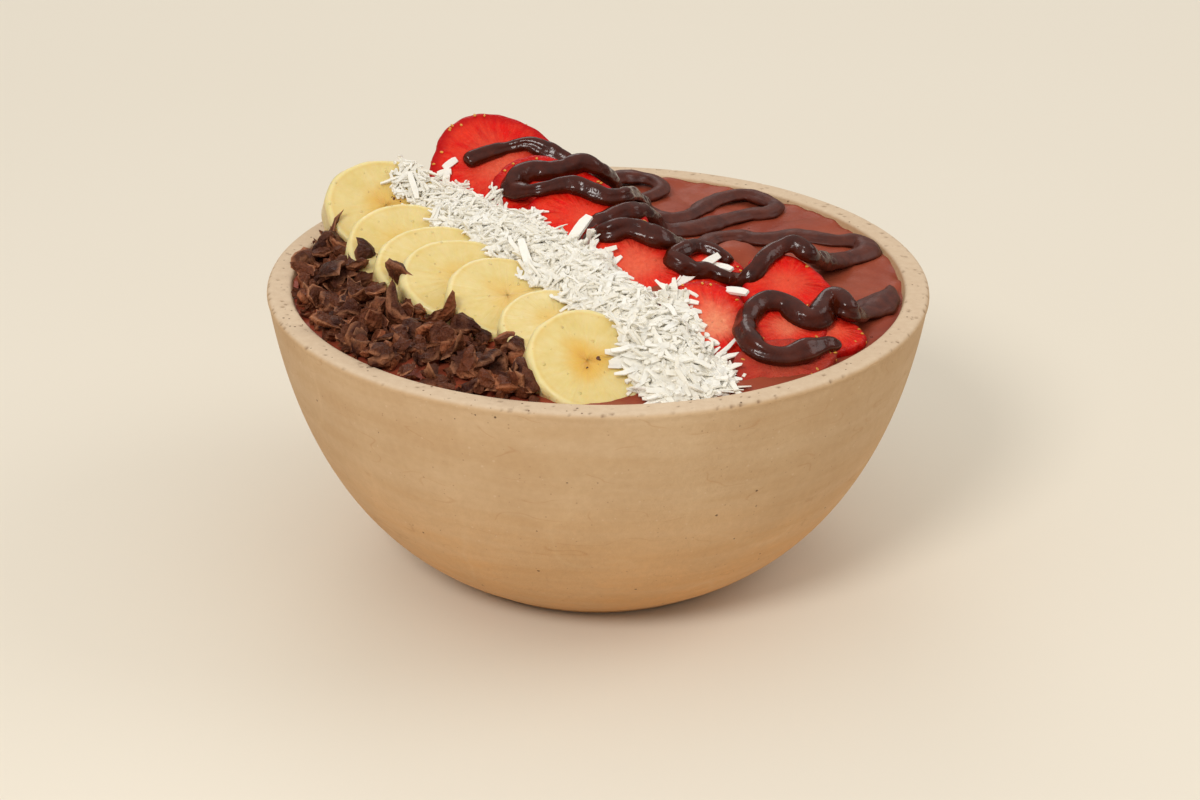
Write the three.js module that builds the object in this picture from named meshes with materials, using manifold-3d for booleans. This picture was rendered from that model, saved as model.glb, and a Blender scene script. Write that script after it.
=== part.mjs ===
// Acai bowl: a cast bowl filled with thick acai blend and topped with banana slices, strawberry
// slices, a band of coconut shreds, a patch of cacao nibs and a zigzag of chocolate sauce.
// Millimetres, +Z up, origin on the table under the middle of the bowl. The front is -Y.
import * as THREE from 'three';
import { mergeVertices } from 'three/addons/utils/BufferGeometryUtils.js';
import Module from 'manifold-3d';

const wasm = await Module();
wasm.setup();

// Bowl
const RIM_RADIUS = 85;
const RIM_HEIGHT = 77;
const RIM_WALL = 6.4;
const RIM_ROUND = 0.7;
const FLOOR_THICKNESS = 9;
const CURVE_POWER = 2.479;
const CURVE_CENTRE = 114.8;
const CURVE_BELOW_TABLE = 6.6;
const FOOT_RADIUS = 36;
const ROUND_SEGMENTS = 44;
const GAP = 0.3;
const FLAT_ENOUGH = 0.03;

// Acai blend
const ACAI_LEVEL = 75.2;
const ACAI_CROWN = 1.2;
const ACAI_RINGS = [68, 56, 45, 34, 23, 12, 0];
const LUMP = { x: 36, y: 15, height: 5, spread: 6.5 };
const MOUND_SPREAD = 11;
const MOUND_HEIGHT = 4;
const FRUIT_MOUNDS = [
  [[-20, 44], [-2, 18], [12, -8], [30, -38]],
  [[-54, 26], [-40, -4], [-20, -30], [-6, -52]],
];

// Banana slices: centre of the top face, half sizes across and up the slope, lean and the way it
// leans in degrees, thickness. Each slice lies over the one before it.
const BANANA_EDGE = 1.2;
const BANANA_SIDES = 20;
const BANANAS = [
  { x: -56.5, y: 29.0, z: 85.5, across: 16.6, up: 14.4, lean: 39, toward: 20, thick: 9 },
  { x: -48.5, y: 5.0, z: 83.2, across: 17.0, up: 15.2, lean: 27, toward: 24, thick: 9 },
  { x: -40.5, y: -6.5, z: 83.0, across: 16.6, up: 14.6, lean: 22, toward: 26, thick: 9 },
  { x: -34.0, y: -16.5, z: 82.8, across: 16.0, up: 14.8, lean: 25, toward: 28, thick: 9 },
  { x: -22.5, y: -28.5, z: 83.5, across: 15.6, up: 14.6, lean: 21, toward: 28, thick: 9 },
  { x: -9.5, y: -44.0, z: 82.6, across: 14.8, up: 14.4, lean: 14, toward: 28, thick: 9 },
  { x: -2.4, y: -64.8, z: 82.0, across: 14.2, up: 14.8, lean: 35, toward: 24, thick: 9 },
];

// Strawberry slices: the same, with full length and width, and the turn of the tip in the slope.
const BERRY_EDGE = 0.9;
const BERRY_SIDES = 18;
const BERRY_TAPER = 0.30;
const BERRY_NOSE = 0.10;
const STRAWBERRIES = [
  { x: -25.5, y: 51.5, z: 88.0, long: 41.5, wide: 31, lean: 42, toward: 2, spin: -18, thick: 6 },
  { x: -11.5, y: 34.0, z: 86.5, long: 36, wide: 26, lean: 32, toward: 5, spin: -12, thick: 6 },
  { x: -3.0, y: 20.5, z: 85.0, long: 33, wide: 23, lean: 28, toward: 8, spin: -6, thick: 6 },
  { x: 10.5, y: -8.0, z: 83.5, long: 29, wide: 25, lean: 30, toward: 10, spin: -16, thick: 6 },
  { x: 27.0, y: -5.0, z: 81.5, long: 22, wide: 18, lean: 20, toward: 20, spin: -10, thick: 6 },
  { x: 28.0, y: -42.5, z: 82.5, long: 28, wide: 24, lean: 28, toward: 20, spin: -50, thick: 6 },
  { x: 47.5, y: -15.5, z: 81.5, long: 23, wide: 22, lean: 26, toward: 10, spin: -10, thick: 6 },
  { x: 58.0, y: -39.0, z: 78.6, long: 17.0, wide: 16.5, lean: 22, toward: 30, spin: -25, thick: 6 },
  { x: 46.5, y: -42.5, z: 80.5, long: 20, wide: 15, lean: 22, toward: 20, spin: -8, thick: 6 },
  { x: 45.5, y: -55.5, z: 77.2, long: 28, wide: 16, lean: 34, toward: 22, spin: 6, thick: 6 },
];

// Chocolate sauce: each run is a route in plan over the thing it is named by.
const SAUCE_RADIUS = 2.2;
const SAUCE_LIFT = 0.9;
const SAUCE_SIDES = 6;
const SAUCE_STEP = 5.5;
const SAUCE_ON_BERRIES = {
  1: [[[-37, 51], [-32, 53.5], [-26, 55.5], [-20, 56.5], [-14, 55]]],
  2: [[[-4, 42], [-10, 40.5], [-17, 39.5], [-21, 37.5], [-20, 34], [-16, 33]]],
  3: [[[-13, 28], [-7, 28.5], [0, 27.5], [6, 26.5]], [[11, 22], [5, 20.5], [-1, 15.5]]],
  4: [[[0, -2], [4, -1], [8, 0], [14, -1.5], [19, -2.5]], [[23, -8], [19, -8]]],
  5: [[[22.5, -1], [27, 0.5], [32, -2]], [[34, -8], [29, -8]]],
  7: [[[46, -6], [43, -9], [40, -12.5], [38, -15.5]], [[48, -22.5], [41.5, -22.5]]],
  9: [[[39, -39], [38, -43]], [[53, -39], [49, -38]]],
  10: [[[38, -54.5], [44, -54.5], [49, -53], [54, -50.5]]],
};
const SAUCE_ON_ACAI = [
  [[0, 74], [6, 72], [12, 73], [17, 69], [17, 63], [12, 60], [6, 66], [1, 71]],
  [[13, 46], [18, 43], [25, 47], [32, 57], [40, 61], [46, 58], [47, 52], [41, 47], [32, 40],
    [24, 35], [17, 36]],
  [[27, 22], [34, 29], [43, 28], [51, 28], [59, 27], [66, 29], [70, 26], [68, 18], [61, 13]],
  [[73, -4], [71, -12], [67, -20], [62, -25]],
];

// Coconut shreds
const COCONUT_CREST = [
  [-43.5, 37, 86], [-31, 17.5, 87.5], [-18.5, 3, 87.5], [-7, -13.5, 87], [4.5, -33, 85.5],
  [16, -53.5, 83], [20, -65, 78.5],
];
const COCONUT_HALF_WIDTH = 11.5;
const COCONUT_HALF_HEIGHT = 6.5;
const COCONUT_STEPS = 12;
const COCONUT_SIDES = 10;
const SHRED_COUNT = 66;
const SHRED_LENGTH = [9, 15];
const SHRED_WIDTH = [1.4, 2.0];
const SHRED_THICK = 0.8;

// Cacao nibs
const NIB_BED = [
  [-66, 22], [-66.5, 8], [-62, -3], [-56, -12], [-49, -24], [-38, -34], [-27, -44], [-20, -52],
  [-16, -62], [-14, -71],
];
const NIB_BED_RADIUS = 75.5;
const NIB_BED_TOP = 78.2;
const NIB_COUNT = 34;
const NIB_SIZE = [2.6, 4.8];
const NIBS_ON_BANANAS = [
  { banana: 2, x: -58, y: 1, size: 3.2 }, { banana: 2, x: -54.5, y: -3.5, size: 2.8 },
  { banana: 3, x: -51, y: -10, size: 3.0 }, { banana: 3, x: -53.5, y: -7.5, size: 2.5 },
];

const up = new THREE.Vector3(0, 0, 1);

// A repeatable stream of numbers between 0 and 1.
function randomStream(seed) {
  let state = seed;
  return () => {
    state = (state * 1664525 + 1013904223) % 4294967296;
    return state / 4294967296;
  };
}

function between(random, [low, high]) {
  return low + (high - low) * random();
}

// Turns a closed three.js geometry into a solid that can be joined and cut.
function solidOf(geometry, matrix = new THREE.Matrix4()) {
  let plain = geometry.clone();
  plain.deleteAttribute('normal');
  plain.deleteAttribute('uv');
  plain.applyMatrix4(matrix);
  plain = mergeVertices(plain, 1e-4);
  const corners = plain.index.array;
  const triangles = [];
  for (let i = 0; i < corners.length; i += 3) {
    const [a, b, c] = [corners[i], corners[i + 1], corners[i + 2]];
    if (a !== b && b !== c && c !== a) triangles.push(a, b, c);
  }
  return new wasm.Manifold(new wasm.Mesh({
    numProp: 3,
    vertProperties: new Float32Array(plain.attributes.position.array),
    triVerts: new Uint32Array(triangles),
  }));
}

function geometryOf(solid) {
  const mesh = solid.getMesh();
  const geometry = new THREE.BufferGeometry();
  geometry.setAttribute('position', new THREE.BufferAttribute(mesh.vertProperties, 3));
  geometry.setIndex(new THREE.BufferAttribute(mesh.triVerts, 1));
  return geometry;
}

// The biggest connected piece of a solid: the scraps that a cut leaves are dropped.
function mainPiece(solid) {
  return solid.decompose().reduce((best, piece) => (piece.volume() > best.volume() ? piece : best));
}

function crosses(solid, others) {
  return others.some((other) => solid.intersect(other).volume() > 1e-4);
}

// Half width of the bowl at a height, for a wall that starts at a given level on the axis.
function wallRadius(height, bottom, rimRadius) {
  const depth = CURVE_CENTRE - bottom;
  const shape = (z) => (1 - ((CURVE_CENTRE - z) / depth) ** CURVE_POWER) ** (1 / CURVE_POWER);
  return rimRadius * shape(height) / shape(RIM_HEIGHT);
}

const innerRadius = (z) => wallRadius(z, FLOOR_THICKNESS, RIM_RADIUS - RIM_WALL);
const outerRadius = (z) => wallRadius(z, -CURVE_BELOW_TABLE, RIM_RADIUS);

function turned(profile) {
  const points = profile.map(([radius, height]) => new THREE.Vector2(radius, height));
  const geometry = new THREE.LatheGeometry(points, ROUND_SEGMENTS);
  geometry.rotateX(Math.PI / 2);
  return geometry;
}

const OUTER_LEVELS = [1, 4, 9, 16, 24, 33, 44, 55, 66, 73];
const INNER_LEVELS = [RIM_HEIGHT - RIM_ROUND, 70, 60, 48, 36, 25, 16, 11];

// The bowl, or with grow the bowl and the clearance that the fruit keeps to its inside and rim.
function makeBowl(grow = 0) {
  const profile = [[0, 0], [FOOT_RADIUS, 0]];
  for (const z of OUTER_LEVELS) profile.push([outerRadius(z), z]);
  profile.push([RIM_RADIUS, RIM_HEIGHT - RIM_ROUND], [RIM_RADIUS - RIM_ROUND, RIM_HEIGHT + grow]);
  profile.push([RIM_RADIUS - RIM_WALL + RIM_ROUND - grow, RIM_HEIGHT + grow]);
  for (const z of INNER_LEVELS) profile.push([innerRadius(z) - grow, z]);
  profile.push([0, FLOOR_THICKNESS + grow]);
  return solidOf(turned(profile));
}

function distanceToLine(x, y, line) {
  let best = Infinity;
  for (let i = 1; i < line.length; i += 1) {
    const [ax, ay] = line[i - 1];
    const [bx, by] = line[i];
    const along = ((x - ax) * (bx - ax) + (y - ay) * (by - ay)) / ((bx - ax) ** 2 + (by - ay) ** 2);
    const t = Math.min(1, Math.max(0, along));
    best = Math.min(best, Math.hypot(x - ax - t * (bx - ax), y - ay - t * (by - ay)));
  }
  return best;
}

// Height of the acai blend: a slight crown, a swirl, a lump, and a mound under each row of fruit
// that fades out before the wall.
function acaiHeight(x, y) {
  const outward = Math.min(1, Math.hypot(x, y) / 78);
  let z = ACAI_LEVEL + ACAI_CROWN * (1 - outward ** 2);
  z += 0.5 * Math.sin(0.11 * x + 0.05 * y) * Math.sin(0.09 * y - 0.03 * x + 1);
  z += LUMP.height * Math.exp(-((x - LUMP.x) ** 2 + (y - LUMP.y) ** 2) / LUMP.spread ** 2);
  for (const line of FRUIT_MOUNDS) {
    const near = Math.exp(-((distanceToLine(x, y, line) / MOUND_SPREAD) ** 2));
    z += MOUND_HEIGHT * near * (1 - outward ** 6);
  }
  return z;
}

function makeAcai() {
  const floor = FLOOR_THICKNESS + GAP;
  const profile = [[0, floor]];
  for (const z of [...INNER_LEVELS].reverse().slice(0, -1)) profile.push([innerRadius(z) - GAP, z + GAP]);
  const edge = innerRadius(ACAI_LEVEL) - GAP;
  const firstTop = profile.length;
  for (const radius of [edge, ...ACAI_RINGS]) profile.push([radius, ACAI_LEVEL]);
  const geometry = turned(profile);
  const place = geometry.attributes.position;
  for (let i = 0; i < place.count; i += 1) {
    if (i % profile.length >= firstTop) place.setZ(i, acaiHeight(place.getX(i), place.getY(i)));
  }
  return solidOf(geometry);
}

// Where a slice lies: its own z points out of the top face and its y points up the slope.
function slicePlace({ x, y, z, lean, toward, spin = 0 }) {
  const turn = new THREE.Quaternion().setFromAxisAngle(up, THREE.MathUtils.degToRad(toward));
  const tip = new THREE.Quaternion().setFromAxisAngle(
    new THREE.Vector3(1, 0, 0), THREE.MathUtils.degToRad(lean));
  const roll = new THREE.Quaternion().setFromAxisAngle(up, THREE.MathUtils.degToRad(spin));
  const holder = new THREE.Object3D();
  holder.position.set(x, y, z);
  holder.quaternion.copy(turn).multiply(tip).multiply(roll);
  holder.updateMatrix();
  return holder;
}

// A slab under its own z = 0, with its edge bevelled, or square where it only clears a space.
function slab(outline, thick, edge, grow) {
  if (grow > 0) {
    const square = new THREE.ExtrudeGeometry(new THREE.Shape(outline), {
      depth: thick + 2 * grow, bevelEnabled: false, curveSegments: 1,
    });
    square.translate(0, 0, -thick - grow);
    return square;
  }
  const geometry = new THREE.ExtrudeGeometry(new THREE.Shape(outline), {
    depth: thick - 2 * edge,
    bevelThickness: edge,
    bevelSize: edge,
    bevelOffset: -edge,
    bevelSegments: 1,
    curveSegments: 1,
  });
  geometry.translate(0, 0, edge - thick);
  return geometry;
}

function bananaSlab({ across, up: rise, thick }, index, grow) {
  const outline = [];
  for (let i = 0; i < BANANA_SIDES; i += 1) {
    const angle = (2 * Math.PI * i) / BANANA_SIDES;
    const lobes = 1 + 0.02 * Math.cos(3 * angle + 1.7 * index);
    outline.push(new THREE.Vector2(
      (across * lobes + grow) * Math.cos(angle), (rise * lobes + grow) * Math.sin(angle)));
  }
  return slab(outline, thick, BANANA_EDGE, grow);
}

function berrySlab({ long, wide, thick }, index, grow) {
  const outline = [];
  for (let i = 0; i < BERRY_SIDES; i += 1) {
    const angle = (2 * Math.PI * i) / BERRY_SIDES;
    const c = Math.cos(angle);
    const taper = 1 - BERRY_TAPER * c - BERRY_NOSE * c * c;
    outline.push(new THREE.Vector2(
      (long / 2 + grow) * c, (wide / 2 + grow) * Math.sin(angle) * taper));
  }
  return slab(outline, thick, BERRY_EDGE, grow);
}

// Height of the plane of a slice's top face at a point in plan.
function planeHeight(slice, x, y) {
  const normal = up.clone().applyQuaternion(slicePlace(slice).quaternion);
  return slice.z - (normal.x * (x - slice.x) + normal.y * (y - slice.y)) / normal.z;
}

// A rope of sauce along a route in plan, with its height read from what it lies on.
function sauceRope(route, height) {
  const points = route.map(([x, y]) => new THREE.Vector3(x, y, height(x, y) + SAUCE_LIFT));
  const curve = new THREE.CatmullRomCurve3(points);
  const ring = [];
  for (let i = 0; i < SAUCE_SIDES; i += 1) {
    const angle = (2 * Math.PI * i) / SAUCE_SIDES;
    ring.push(new THREE.Vector2(SAUCE_RADIUS * Math.cos(angle), SAUCE_RADIUS * Math.sin(angle)));
  }
  const steps = Math.max(2, Math.round(curve.getLength() / SAUCE_STEP));
  return solidOf(new THREE.ExtrudeGeometry(new THREE.Shape(ring), {
    steps, extrudePath: curve, curveSegments: 1,
  }));
}

// Fruit slices, placed and cut clear of every slice that lies over them.
function makeSlices(list, makeSlab, prefix) {
  return list.map((slice, i) => {
    const holder = slicePlace(slice);
    return {
      name: `${prefix}_${i + 1}`,
      slice,
      holder,
      solid: solidOf(makeSlab(slice, i, 0), holder.matrix),
      grown: solidOf(makeSlab(slice, i, GAP), holder.matrix),
    };
  });
}

function cutClear(row, keepOut) {
  row.forEach((piece, i) => {
    for (const upper of row.slice(i + 1)) piece.solid = piece.solid.subtract(upper.grown);
    piece.solid = mainPiece(piece.solid.subtract(keepOut));
  });
}

function nibSolid(random, x, y, z, size) {
  const shard = new THREE.IcosahedronGeometry(1, 0);
  const scale = new THREE.Vector3(size, size * (0.5 + 0.3 * random()), size * (0.3 + 0.2 * random()));
  const turn = new THREE.Quaternion().setFromEuler(new THREE.Euler(
    0.9 * (random() - 0.5), 0.9 * (random() - 0.5), 2 * Math.PI * random()));
  const place = new THREE.Matrix4().compose(new THREE.Vector3(x, y, z), turn, scale);
  return solidOf(shard, place);
}

function makeNibBed() {
  const shape = new THREE.Shape(NIB_BED.map(([x, y]) => new THREE.Vector2(x, y)));
  const [startX, startY] = NIB_BED[NIB_BED.length - 1];
  const [endX, endY] = NIB_BED[0];
  const start = Math.atan2(startY, startX);
  const end = Math.atan2(endY, endX) - 2 * Math.PI;
  for (let i = 0; i <= 14; i += 1) {
    const angle = start + ((end - start) * i) / 14;
    shape.lineTo(NIB_BED_RADIUS * Math.cos(angle), NIB_BED_RADIUS * Math.sin(angle));
  }
  const geometry = new THREE.ExtrudeGeometry(shape, {
    depth: NIB_BED_TOP - ACAI_LEVEL + 1, bevelEnabled: false, curveSegments: 1,
  });
  geometry.translate(0, 0, ACAI_LEVEL - 1);
  return { solid: solidOf(geometry), corners: shape.getPoints() };
}

function inside(x, y, corners) {
  let within = false;
  for (let i = 0, j = corners.length - 1; i < corners.length; j = i, i += 1) {
    const [a, b] = [corners[i], corners[j]];
    if ((a.y > y) !== (b.y > y) && x < ((b.x - a.x) * (y - a.y)) / (b.y - a.y) + a.x) within = !within;
  }
  return within;
}

const bowl = makeBowl();
const bowlClear = makeBowl(GAP);
const acaiBody = makeAcai();
const bananas = makeSlices(BANANAS, bananaSlab, 'banana');
const berries = makeSlices(STRAWBERRIES, berrySlab, 'strawberry');
const slices = [...bananas, ...berries];
cutClear(slices, bowlClear);

// Sauce is joined to the strawberry slice or the acai it lies on, and kept off everything else.
berries.forEach((piece, i) => {
  const others = slices.filter((other) => other !== piece);
  for (const route of SAUCE_ON_BERRIES[i + 1] ?? []) {
    let rope = sauceRope(route, (x, y) => planeHeight(piece.slice, x, y));
    for (const other of others) rope = rope.subtract(other.grown);
    rope = rope.subtract(bowlClear);
    for (const other of berries.filter((berry) => berry.sauced)) rope = rope.subtract(other.sauced);
    piece.solid = piece.solid.add(rope);
  }
  piece.solid = mainPiece(piece.solid);
  piece.sauced = solidOf(geometryOf(piece.solid));
});

const nibRandom = randomStream(5);
for (const { banana, x, y, size } of NIBS_ON_BANANAS) {
  const piece = bananas[banana - 1];
  let nib = nibSolid(nibRandom, x, y, planeHeight(piece.slice, x, y) + 0.6, size);
  nib = nib.subtract(bowlClear);
  for (const other of slices) if (other !== piece) nib = nib.subtract(other.grown);
  piece.solid = mainPiece(piece.solid.add(nib));
}

let acai = acaiBody;
for (const route of SAUCE_ON_ACAI) {
  acai = acai.add(sauceRope(route, acaiHeight).subtract(bowlClear));
}
for (const piece of slices) acai = acai.subtract(piece.grown);
for (const piece of berries) acai = acai.subtract(piece.sauced);
acai = mainPiece(acai);
const acaiClear = acaiBody.translate(0, 0, GAP);

// Coconut: a rounded core along the crest, with shreds lying across it every way.
function makeCoconut() {
  const crest = new THREE.CatmullRomCurve3(
    COCONUT_CREST.map(([x, y, z]) => new THREE.Vector3(x, y, z - COCONUT_HALF_HEIGHT)));
  const section = [];
  for (let i = 0; i < COCONUT_SIDES; i += 1) {
    const angle = (2 * Math.PI * i) / COCONUT_SIDES;
    section.push(new THREE.Vector2(
      COCONUT_HALF_HEIGHT * Math.cos(angle), COCONUT_HALF_WIDTH * Math.sin(angle)));
  }
  let solid = solidOf(new THREE.ExtrudeGeometry(new THREE.Shape(section), {
    steps: COCONUT_STEPS, extrudePath: crest, curveSegments: 1,
  }));
  const others = [acaiClear, ...slices.map((piece) => piece.grown), ...berries.map((piece) => piece.sauced)];
  for (const other of others) solid = solid.subtract(other);
  solid = mainPiece(solid);
  const random = randomStream(11);
  for (let i = 0; i < SHRED_COUNT; i += 1) {
    const length = between(random, SHRED_LENGTH);
    const shred = new THREE.BoxGeometry(length, between(random, SHRED_WIDTH), SHRED_THICK);
    const t = (i + 0.5) / SHRED_COUNT;
    const around = 2.2 * (random() - 0.5);
    const middle = crest.getPoint(t);
    const along = crest.getTangent(t);
    const side = new THREE.Vector3(along.y, -along.x, 0).normalize();
    middle.addScaledVector(side, COCONUT_HALF_WIDTH * Math.sin(around));
    middle.z += COCONUT_HALF_HEIGHT * Math.cos(around) + 0.1;
    const turn = new THREE.Quaternion().setFromEuler(new THREE.Euler(
      0.5 * (random() - 0.5), 0.5 * (random() - 0.5), 2 * Math.PI * random()));
    const lean = new THREE.Quaternion().setFromAxisAngle(along, around * 0.7);
    const place = new THREE.Matrix4().compose(middle, lean.multiply(turn), new THREE.Vector3(1, 1, 1));
    const piece = solidOf(shred, place);
    if (!crosses(piece, others)) solid = solid.add(piece);
  }
  return mainPiece(solid);
}

// Nibs: a low bed between the wall and the bananas, with shards standing out of it.
function makeNibs() {
  const bed = makeNibBed();
  const others = [acaiClear, ...slices.map((piece) => piece.grown), bananas[1].solid, bananas[2].solid];
  let solid = bed.solid;
  for (const other of others) solid = solid.subtract(other);
  solid = mainPiece(solid);
  let placed = 0;
  for (let tries = 0; placed < NIB_COUNT && tries < 900; tries += 1) {
    const x = -76 + 66 * nibRandom();
    const y = -74 + 96 * nibRandom();
    const size = between(nibRandom, NIB_SIZE);
    if (inside(x, y, bed.corners)) {
      const nib = nibSolid(nibRandom, x, y, NIB_BED_TOP + 0.5, size);
      if (!crosses(nib, [...others, bowl])) {
        solid = solid.add(nib);
        placed += 1;
      }
    }
  }
  return mainPiece(solid);
}

const coconut = makeCoconut();
const nibs = makeNibs();

function colour(hex, roughness) {
  return new THREE.MeshStandardMaterial({ color: hex, roughness, metalness: 0 });
}

const finishes = {
  bowl: colour(0xc0a07a, 0.85),
  acai: colour(0x7a4a48, 0.6),
  banana: colour(0xead68c, 0.45),
  strawberry: colour(0xc8281e, 0.35),
  coconut: colour(0xece8de, 0.7),
  nibs: colour(0x5a3526, 0.7),
};

const model = new THREE.Group();

function place(name, solid, finish, holder = null) {
  const geometry = geometryOf(solid.simplify(FLAT_ENOUGH));
  const mesh = new THREE.Mesh(geometry, finish);
  mesh.name = name;
  if (holder) {
    geometry.applyMatrix4(holder.matrix.clone().invert());
    mesh.position.copy(holder.position);
    mesh.quaternion.copy(holder.quaternion);
  }
  model.add(mesh);
}

place('bowl', bowl, finishes.bowl);
place('acai', acai, finishes.acai);
for (const { name, solid, holder } of bananas) place(name, solid, finishes.banana, holder);
for (const { name, solid, holder } of berries) place(name, solid, finishes.strawberry, holder);
place('coconut', coconut, finishes.coconut);
place('nibs', nibs, finishes.nibs);

export default model;
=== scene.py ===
"""Acai bowl: the looks of the bowl, the acai blend and its toppings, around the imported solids.

Lengths in the constants are millimetres in the solids' own frame: +Z up, the front is -Y.
"""
import math

import bmesh
import bpy
import numpy as np
from mathutils import Matrix, Vector

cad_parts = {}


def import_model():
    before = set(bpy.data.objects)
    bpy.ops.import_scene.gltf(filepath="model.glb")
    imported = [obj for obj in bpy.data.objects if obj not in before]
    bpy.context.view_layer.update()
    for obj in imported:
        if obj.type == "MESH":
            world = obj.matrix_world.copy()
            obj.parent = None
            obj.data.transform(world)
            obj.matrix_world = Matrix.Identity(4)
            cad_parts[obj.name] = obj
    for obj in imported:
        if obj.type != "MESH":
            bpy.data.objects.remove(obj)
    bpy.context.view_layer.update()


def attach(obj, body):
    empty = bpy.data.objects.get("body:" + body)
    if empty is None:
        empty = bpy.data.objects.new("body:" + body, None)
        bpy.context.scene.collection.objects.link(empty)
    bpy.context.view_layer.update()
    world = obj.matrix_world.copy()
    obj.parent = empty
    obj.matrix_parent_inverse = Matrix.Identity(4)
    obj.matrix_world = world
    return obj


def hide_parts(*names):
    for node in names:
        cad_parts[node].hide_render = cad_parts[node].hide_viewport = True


MM = 0.001

# Camera: place in millimetres, turns in radians, lens and sensor width in millimetres
CAMERA_PLACE = (0.0, -669.6, 347.5)
CAMERA_PITCH = 0.428
CAMERA_YAW = 0.001
CAMERA_ROLL = 0.007
CAMERA_LENS = 83.94
CAMERA_SENSOR = 36.0

# Bowl
RIM_RADIUS = 85.0
RIM_HEIGHT = 77.0
RIM_WALL = 6.4
FLOOR_THICKNESS = 9.0
CURVE_POWER = 2.479
CURVE_CENTRE = 114.8
CURVE_BELOW_TABLE = 6.6
FOOT_RADIUS = 36.0
FOOT_ROUND = 1.6
OUTER_ROUND = 1.3
INNER_ROUND = 1.1
WALL_TOP = 75.2
BOWL_SEGMENTS = 900
RIM_PIT_COUNT = 170
RIM_CHIP_COUNT = 90
DENT_WIDTH = 0.55
DENT_DEPTH = 0.7

# Acai blend
ACAI_LEVEL = 75.2
ACAI_CROWN = 1.2
ACAI_REACH = 0.25
SMEAR_WIDTH = 5.0
FOLD_MIDDLE = (-30, 95)
FOLD_SPACING = 26
FOLD_HEIGHT = 0.55
ACAI_AROUND = 420
# The lump: x, y, height and half width
LUMP = (36.0, 15.0, 5.2, 7.0)
MOUND_SPREAD = 11.0
MOUND_HEIGHT = 4.0
FRUIT_MOUNDS = (
    ((-20, 44), (-2, 18), (12, -8), (30, -38)),
    ((-54, 26), (-40, -4), (-20, -30), (-6, -52)),
)

# Banana slices: x, y, z of the middle of the cut face, half width, half height up the slope,
# lean and the way it leans in degrees, thickness
BANANAS = (
    (-56.5, 29.0, 85.5, 16.6, 14.4, 39, 20, 9),
    (-48.5, 5.0, 83.2, 17.0, 15.2, 27, 24, 9),
    (-40.5, -6.5, 83.0, 16.6, 14.6, 22, 26, 9),
    (-34.0, -16.5, 82.8, 16.0, 14.8, 25, 28, 9),
    (-22.5, -28.5, 83.5, 15.6, 14.6, 21, 28, 9),
    (-9.5, -44.0, 82.6, 14.8, 14.4, 14, 28, 9),
    (-2.4, -64.8, 82.0, 14.2, 14.8, 35, 24, 9),
)
BANANA_EDGE = 1.3
BANANA_AROUND = 120
# How ripe the core of each slice is
BANANA_CORE = (0.75, 0.45, 0.35, 0.4, 0.5, 0.55, 1.0)
# Seed specks: the slice counted from 0, place along and across its face, size
BANANA_SEEDS = (
    (0, 2.4, 2.0, 1.0), (0, 1.2, -1.0, 0.5), (0, 4.0, 0.5, 0.4),
    (6, 2.8, -0.5, 1.0), (6, 3.2, -4.6, 0.9), (6, -0.8, -2.0, 0.4),
    (5, 1.0, 0.5, 0.4), (3, 0.5, 1.0, 0.35), (4, 2.2, 3.2, 0.4),
)

# Strawberry slices: the same, with half length and half width, and the turn of the tip
BERRY_TAPER = 0.30
BERRY_NOSE = 0.10
BERRY_EDGE = 1.5
BERRY_AROUND = 144
BERRIES = (
    (-25.5, 51.5, 88.0, 20.75, 15.5, 42, 2, -18, 6),
    (-11.5, 34.0, 86.5, 18.0, 13.0, 32, 5, -12, 6),
    (-3.0, 20.5, 85.0, 16.5, 11.5, 28, 8, -6, 6),
    (10.5, -8.0, 83.5, 14.5, 12.5, 30, 10, -16, 6),
    (27.0, -5.0, 81.5, 11.0, 9.0, 20, 20, -10, 6),
    (28.0, -42.5, 82.5, 14.0, 12.0, 28, 20, -50, 6),
    (47.5, -15.5, 81.5, 11.5, 11.0, 26, 10, -10, 6),
    (58.0, -39.0, 78.6, 8.5, 8.25, 22, 30, -25, 6),
    (46.5, -42.5, 80.5, 10.0, 7.5, 22, 20, -8, 6),
    (45.5, -55.5, 77.2, 14.0, 8.0, 34, 22, 6, 6),
)
# How pale the heart of each slice is, and how much acai film lies on it
BERRY_PALENESS = (0.35, 0.05, 0.12, 0.4, 0.25, 1.0, 0.2, 0.3, 0.55, 0.4)
BERRY_FILM = (0, 0, 0, 0, 0, 0, 0, 0.05, 0.15, 0.72)
# Seeds: how many for each millimetre of half length and width, and half length, width, height
BERRY_SEED_SHARE = 2.0
BERRY_SEED_SIZES = ((0.5, 0.75), (0.28, 0.42), (0.22, 0.32))

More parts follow.
